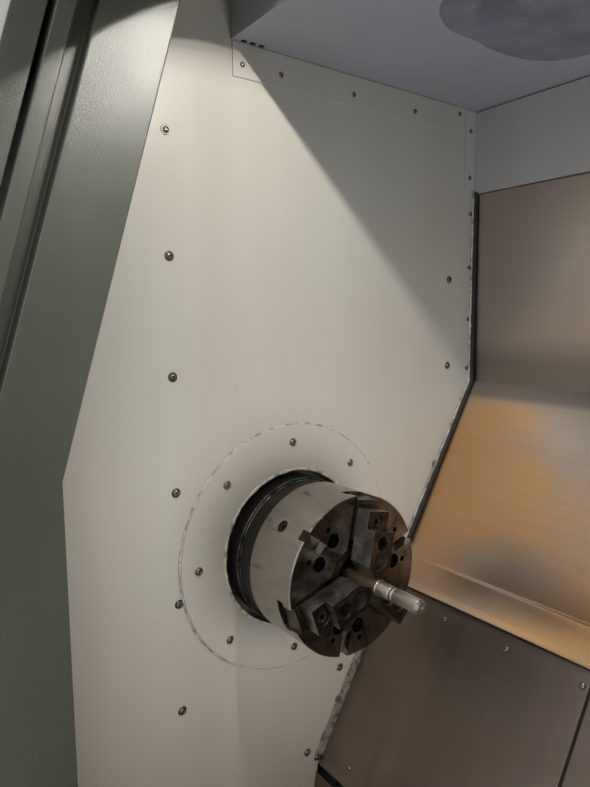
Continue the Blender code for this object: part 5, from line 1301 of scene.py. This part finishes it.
@dataclass
class Outside:
    """Seals, hinges, latches and nuts on the outside covers."""

    lean: float = math.radians(16.3)
    post_y: float = -0.342
    kink_z: float = 0.166
    window_off: float = 0.1372
    window_inset: float = 0.012
    window_levels: Flat = (0.2175, 0.5975)
    console_off: float = 0.1603
    screen_levels: Flat = (0.285, 0.550)
    collar: tuple[Step, ...] = (
        (0, 0.0235, 0), (0, 0.034, 0), (0.0025, 0.034, 0), (0.004, 0.031, 0), (0.004, 0.0235, 0),
        (0, 0.0235, 0),
    )
    hinge_shares: tuple[float, ...] = (0.14, 0.5, 0.86)
    hinge_pin: tuple[Step, ...] = (
        (0, 0, 0), (0, 0.006, 0), (0.002, 0.0075, 0), (0.068, 0.0075, 0), (0.070, 0.006, 0), (0.070, 0, 0),
    )
    hinge_leaf: Point = (0.034, 0.0025, 0.030)
    hinge_screw: Head = Head(0.0042, 0.0022, Drive.CROSS)
    hinge_screw_x: float = 0.022
    hinge_screw_z: float = 0.018
    latch_shares: tuple[float, ...] = (0.18, 0.5, 0.82)
    latch_inset: float = 0.035
    latch: tuple[Step, ...] = (
        (0, 0, 0), (0, 0.017, 0), (0.003, 0.017, 0), (0.005, 0.014, 0), (0.005, 0.006, 4), (0.002, 0.006, 4),
        (0.002, 0, 0),
    )
    foot_inset: Flat = (0.100, 0.070)
    nut_z: float = 0.040
    nut: tuple[Step, ...] = (
        (0, 0.0185, 0), (0, 0.029, 6), (0.015, 0.029, 6), (0.015, 0.0185, 0), (0, 0.0185, 0),
    )

    def front(self, x: float, off: float, z: float) -> Vector:
        """Finds a point on the front, which is upright below the kink and leans back above it.

        Args:
            x: Its place along the machine.
            off: How far it stands in front of the posts' inner plane.
            z: Its height.

        Returns:
            The point.
        """
        upright = self.post_y - off
        leaning = self.post_y - off / math.cos(self.lean) + (z - self.kink_z) * math.tan(self.lean)
        return world(x, max(upright, leaning), z)

    def leaning_frame(self, sides: Flat, off: float, levels: Flat, steps: int) -> list[Vector]:
        """Works out a closed rectangle on the leaning front.

        Args:
            sides: Its left and right side.
            off: How far it stands in front of the posts' inner plane.
            levels: The heights of its foot and its top.
            steps: The number of points along each side.

        Returns:
            Its points, the first one again at the end.
        """
        (left, right), (bottom, top) = sides, levels
        slant = Vector((0.0, math.sin(self.lean), math.cos(self.lean)))
        foot = self.front(0, off, bottom)
        rise = (top - bottom) / math.cos(self.lean)
        corners = [(left, 0.0), (right, 0.0), (right, rise), (left, rise)]
        path = []
        for n, (x, up) in enumerate(corners):
            x2, up2 = corners[(n + 1) % 4]
            for share in (k / steps for k in range(steps)):
                at_foot = Vector((x + (x2 - x) * share, foot.y, foot.z))
                path.append(at_foot + slant * (up + (up2 - up) * share))
        return [*path, path[0]]

    def build(self) -> None:
        """Builds the window's gasket and the hardware of the cabinet, the console and the feet."""
        self.window_gasket()
        self.cabinet_hardware()
        self.console_hardware()
        self.foot_nuts()

    def window_gasket(self) -> None:
        """The rubber profile that holds the window in its frame."""
        low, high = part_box("door_window")
        gasket = Piece("window_gasket", Body.DOOR, Finishes.seal_rubber, "dark_plastic")
        sides = (low.x + self.window_inset, high.x - self.window_inset)
        path = self.leaning_frame(sides, self.window_off, self.window_levels, 12)
        gasket.bead(path, width=0.0055, lump=0.0, out=self.leaning_out(), flat=0.6)
        gasket.placed()

    def leaning_out(self) -> Vector:
        """The direction straight out of the leaning front."""
        return Vector((0.0, -math.cos(self.lean), math.sin(self.lean)))

    def cabinet_hardware(self) -> None:
        """Three hinges and three latches on the electrical cabinet's door."""
        low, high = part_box("cabinet_door")
        leaf_x, leaf_thick, leaf_half = self.hinge_leaf
        hinges = Piece("cabinet_hinges", Body.CABINET_DOOR, Finishes.ground_steel, "ground_steel")
        for share in self.hinge_shares:
            at = Vector((low.x, high.y, low.z + (high.z - low.z) * share))
            hinges.turned(at + Vector((0.0, -0.002, -self.hinge_pin[-1][0] / 2)), UP, self.hinge_pin)
            hinges.slab(at - UP * leaf_half, at + Vector((leaf_x, leaf_thick, leaf_half)))
            for z in (-self.hinge_screw_z, self.hinge_screw_z):
                hinges.screw(at + Vector((self.hinge_screw_x, leaf_thick, z)), TO_BACK, self.hinge_screw)
        hinges.placed(0.0005)
        latches = Piece("cabinet_latches", Body.CABINET_DOOR, Finishes.dark_plastic, "dark_plastic")
        for share in self.latch_shares:
            at = Vector((high.x - self.latch_inset, high.y, low.z + (high.z - low.z) * share))
            latches.turned(at, TO_BACK, self.latch, 32)
        latches.placed(0.0004)

    def console_hardware(self) -> None:
        """The yellow collar behind the stop button and the bezel round the screen."""
        low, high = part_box("estop_button")
        middle = (low + high) / 2
        collar = Piece("estop_collar", Body.MACHINE, Finishes.yellow_plastic)
        face_y = self.front(0, self.console_off, 0.0).y
        collar.turned(Vector((middle.x, face_y, middle.z)), TO_FRONT, self.collar, 40)
        collar.placed(0.0003)
        low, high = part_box("console_screen")
        bezel = Piece("screen_bezel", Body.MACHINE, Finishes.seal_rubber, "dark_plastic")
        path = self.leaning_frame((low.x, high.x), self.console_off, self.screen_levels, 8)
        bezel.bead(path, width=0.005, lump=0.0, out=self.leaning_out(), flat=0.5)
        bezel.placed()

    def foot_nuts(self) -> None:
        """The lock nuts on the levelling feet."""
        low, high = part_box("base_casting")
        inset_x, inset_y = self.foot_inset
        nuts = Piece("foot_lock_nuts", Body.MACHINE, Finishes.ground_steel, "ground_steel")
        for x in (low.x + inset_x, (low.x + high.x) / 2, high.x - inset_x):
            for y in (low.y + inset_y, high.y - inset_y):
                nuts.turned(Vector((x, y, self.nut_z)), UP, self.nut, 24)
        nuts.placed(0.0008)


@dataclass(frozen=True)
class SoftLamp:
    """One soft rectangular lamp: its middle, direction, size, watts, tint and whether gloss mirrors it."""

    name: str
    at: Point
    towards: Point
    size: Flat
    power: float
    tint: Colour
    mirrored: bool = False

    def build(self) -> None:
        """Adds the lamp."""
        data = bpy.data.lights.new(self.name, "AREA")
        data.shape = "RECTANGLE"
        data.size, data.size_y = self.size
        data.energy = self.power
        data.color = self.tint
        made = bpy.data.objects.new(self.name, data)
        made.location = world(*self.at)
        made.visible_glossy = self.mirrored
        made.rotation_mode = "QUATERNION"
        ahead = Vector(self.towards).normalized()
        across = (ALONG_X - ahead * ahead.dot(ALONG_X)).normalized()
        turn = Matrix((across, (-ahead).cross(across), -ahead)).transposed()
        made.rotation_quaternion = turn.to_quaternion()
        bpy.context.scene.collection.objects.link(made)


@dataclass(frozen=True)
class WorkLamp:
    """The machine's own lamp, a row of small spots above the door, cut by the roof's front edge."""

    row: tuple[float, ...] = (0.30, 0.36, 0.42, 0.48, 0.54)
    y: float = -0.131
    z: float = 0.716
    mirrored: int = 3
    tilt: float = math.radians(54.0)
    to_back: float = 0.06
    spread: float = math.radians(45.0)
    soft_edge: float = 0.05
    radius: float = 0.002
    power: float = 10.0
    tint: Colour = (1.0, 0.955, 0.885)

    def build(self) -> None:
        """Adds the row of spots."""
        ahead = Vector((-math.cos(self.tilt), self.to_back, -math.sin(self.tilt)))
        for n, x in enumerate(self.row):
            data = bpy.data.lights.new(f"work_lamp_{n}", "SPOT")
            data.energy = self.power / len(self.row)
            data.color = self.tint
            data.spot_size = 2 * self.spread
            data.spot_blend = self.soft_edge
            data.shadow_soft_size = self.radius
            made = bpy.data.objects.new(f"work_lamp_{n}", data)
            made.location = world(x, self.y, self.z)
            made.visible_glossy = n < self.mirrored
            made.rotation_mode = "QUATERNION"
            made.rotation_quaternion = ahead.to_track_quat("-Z", "Y")
            bpy.context.scene.collection.objects.link(made)


@dataclass
class Studio:
    """The camera, the lamps, the floor and the pale backdrop."""

    eye: Point = (0.7198, -0.5181, 0.3268)
    yaw: float = 36.1
    pitch: float = 6.63
    roll: float = -0.38
    lens: float = 28.76
    sensor: float = 36.0
    near: float = 0.01
    backdrop: Colour = (0.89, 0.90, 0.92)
    ambient: float = 0.55
    floor_half: float = 30.0
    floor_grey: Colour = (0.62, 0.62, 0.61)
    lamps: tuple[SoftLamp, ...] = (
        SoftLamp("cover_glow", (0.50, 0.05, -0.05), (-1.0, -0.15, 0.0), (0.40, 0.30), 0.9, (1.0, 0.74, 0.50)),
        SoftLamp("chamber_fill", (0.62, 0.10, -0.05), (-0.6, -0.1, 0.8), (0.4, 0.3), 3.0, (0.84, 0.92, 1.0)),
        SoftLamp("door_fill", (0.85, -1.15, 0.95), (-0.45, 0.85, -0.50), (1.2, 0.9), 6.5, (1.0, 0.96, 0.90)),
        SoftLamp("key", (-1.7, -2.8, 2.3), (0.5, 0.85, -0.65), (2.2, 2.2), 135.0, (1.0, 0.99, 0.97)),
        SoftLamp("back_fill", (-1.6, 3.2, 2.4), (0.5, -0.9, -0.55), (2.6, 2.0), 110.0, (0.96, 0.98, 1.0),
                 mirrored=True),
    )

    def build(self) -> None:
        """Builds the studio."""
        self.camera()
        self.floor()
        self.world_light()
        WorkLamp().build()
        for lamp in self.lamps:
            lamp.build()

    def camera(self) -> None:
        """Sets the camera at the photograph's place and angle."""
        yaw, pitch, roll = (math.radians(a) for a in (self.yaw, self.pitch, self.roll))
        ahead = Vector((-math.cos(yaw) * math.cos(pitch), math.sin(yaw) * math.cos(pitch), -math.sin(pitch)))
        right = ahead.cross(UP).normalized()
        up = right.cross(ahead)
        across = right * math.cos(roll) + up * math.sin(roll)
        upward = up * math.cos(roll) - right * math.sin(roll)
        data = bpy.data.cameras.new("photo_camera")
        data.sensor_fit = "AUTO"
        data.sensor_width = self.sensor
        data.lens = self.lens
        data.clip_start = self.near
        made = bpy.data.objects.new("photo_camera", data)
        turn = Matrix((across, upward, -ahead)).transposed().to_4x4()
        made.matrix_world = Matrix.Translation(world(*self.eye)) @ turn
        bpy.context.scene.collection.objects.link(made)
        bpy.context.scene.camera = made

    def floor(self) -> None:
        """A plain pale floor under the feet."""
        data = bpy.data.meshes.new("studio_floor")
        half = self.floor_half
        corners = [(-half, -half, 0), (half, -half, 0), (half, half, 0), (-half, half, 0)]
        data.from_pydata(corners, [], [(0, 1, 2, 3)])
        bench = Bench("studio_floor")
        bench.set(Base_Color=self.floor_grey, Roughness=0.75)
        data.materials.append(bench.done())
        made = bpy.data.objects.new("studio_floor", data)
        bpy.context.scene.collection.objects.link(made)

    def world_light(self) -> None:
        """A grey world that shows pale to the camera, to gloss and through glass."""
        studio = bpy.data.worlds.new("studio")
        studio.use_nodes = True
        tree = studio.node_tree
        ground = next(n for n in tree.nodes if n.type == "BACKGROUND")
        ground.inputs["Color"].default_value = (*self.backdrop, 1.0)
        path = tree.nodes.new("ShaderNodeLightPath")
        seen = path.outputs["Is Camera Ray"]
        for ray in ("Is Glossy Ray", "Is Transmission Ray"):
            either = tree.nodes.new("ShaderNodeMath")
            either.operation = "MAXIMUM"
            tree.links.new(seen, either.inputs[0])
            tree.links.new(path.outputs[ray], either.inputs[1])
            seen = either.outputs[0]
        strength = tree.nodes.new("ShaderNodeMapRange")
        strength.inputs["To Min"].default_value = self.ambient
        strength.inputs["To Max"].default_value = 1.0
        tree.links.new(seen, strength.inputs["Value"])
        tree.links.new(strength.outputs["Result"], ground.inputs["Strength"])
        bpy.context.scene.world = studio


def main() -> None:
    """Builds and dresses the machine, then the studio round it."""
    logging.basicConfig(level=logging.INFO, format="%(name)s %(message)s")
    Castings().dress()
    RoundedNodes().build()
    ChamberWall().build()
    RearPlates().build()
    ChuckFasteners().build()
    TurretFittings().build()
    Outside().build()
    Studio().build()
    bpy.context.scene.view_settings.view_transform = "Standard"


if __name__ == "__main__":
    main()
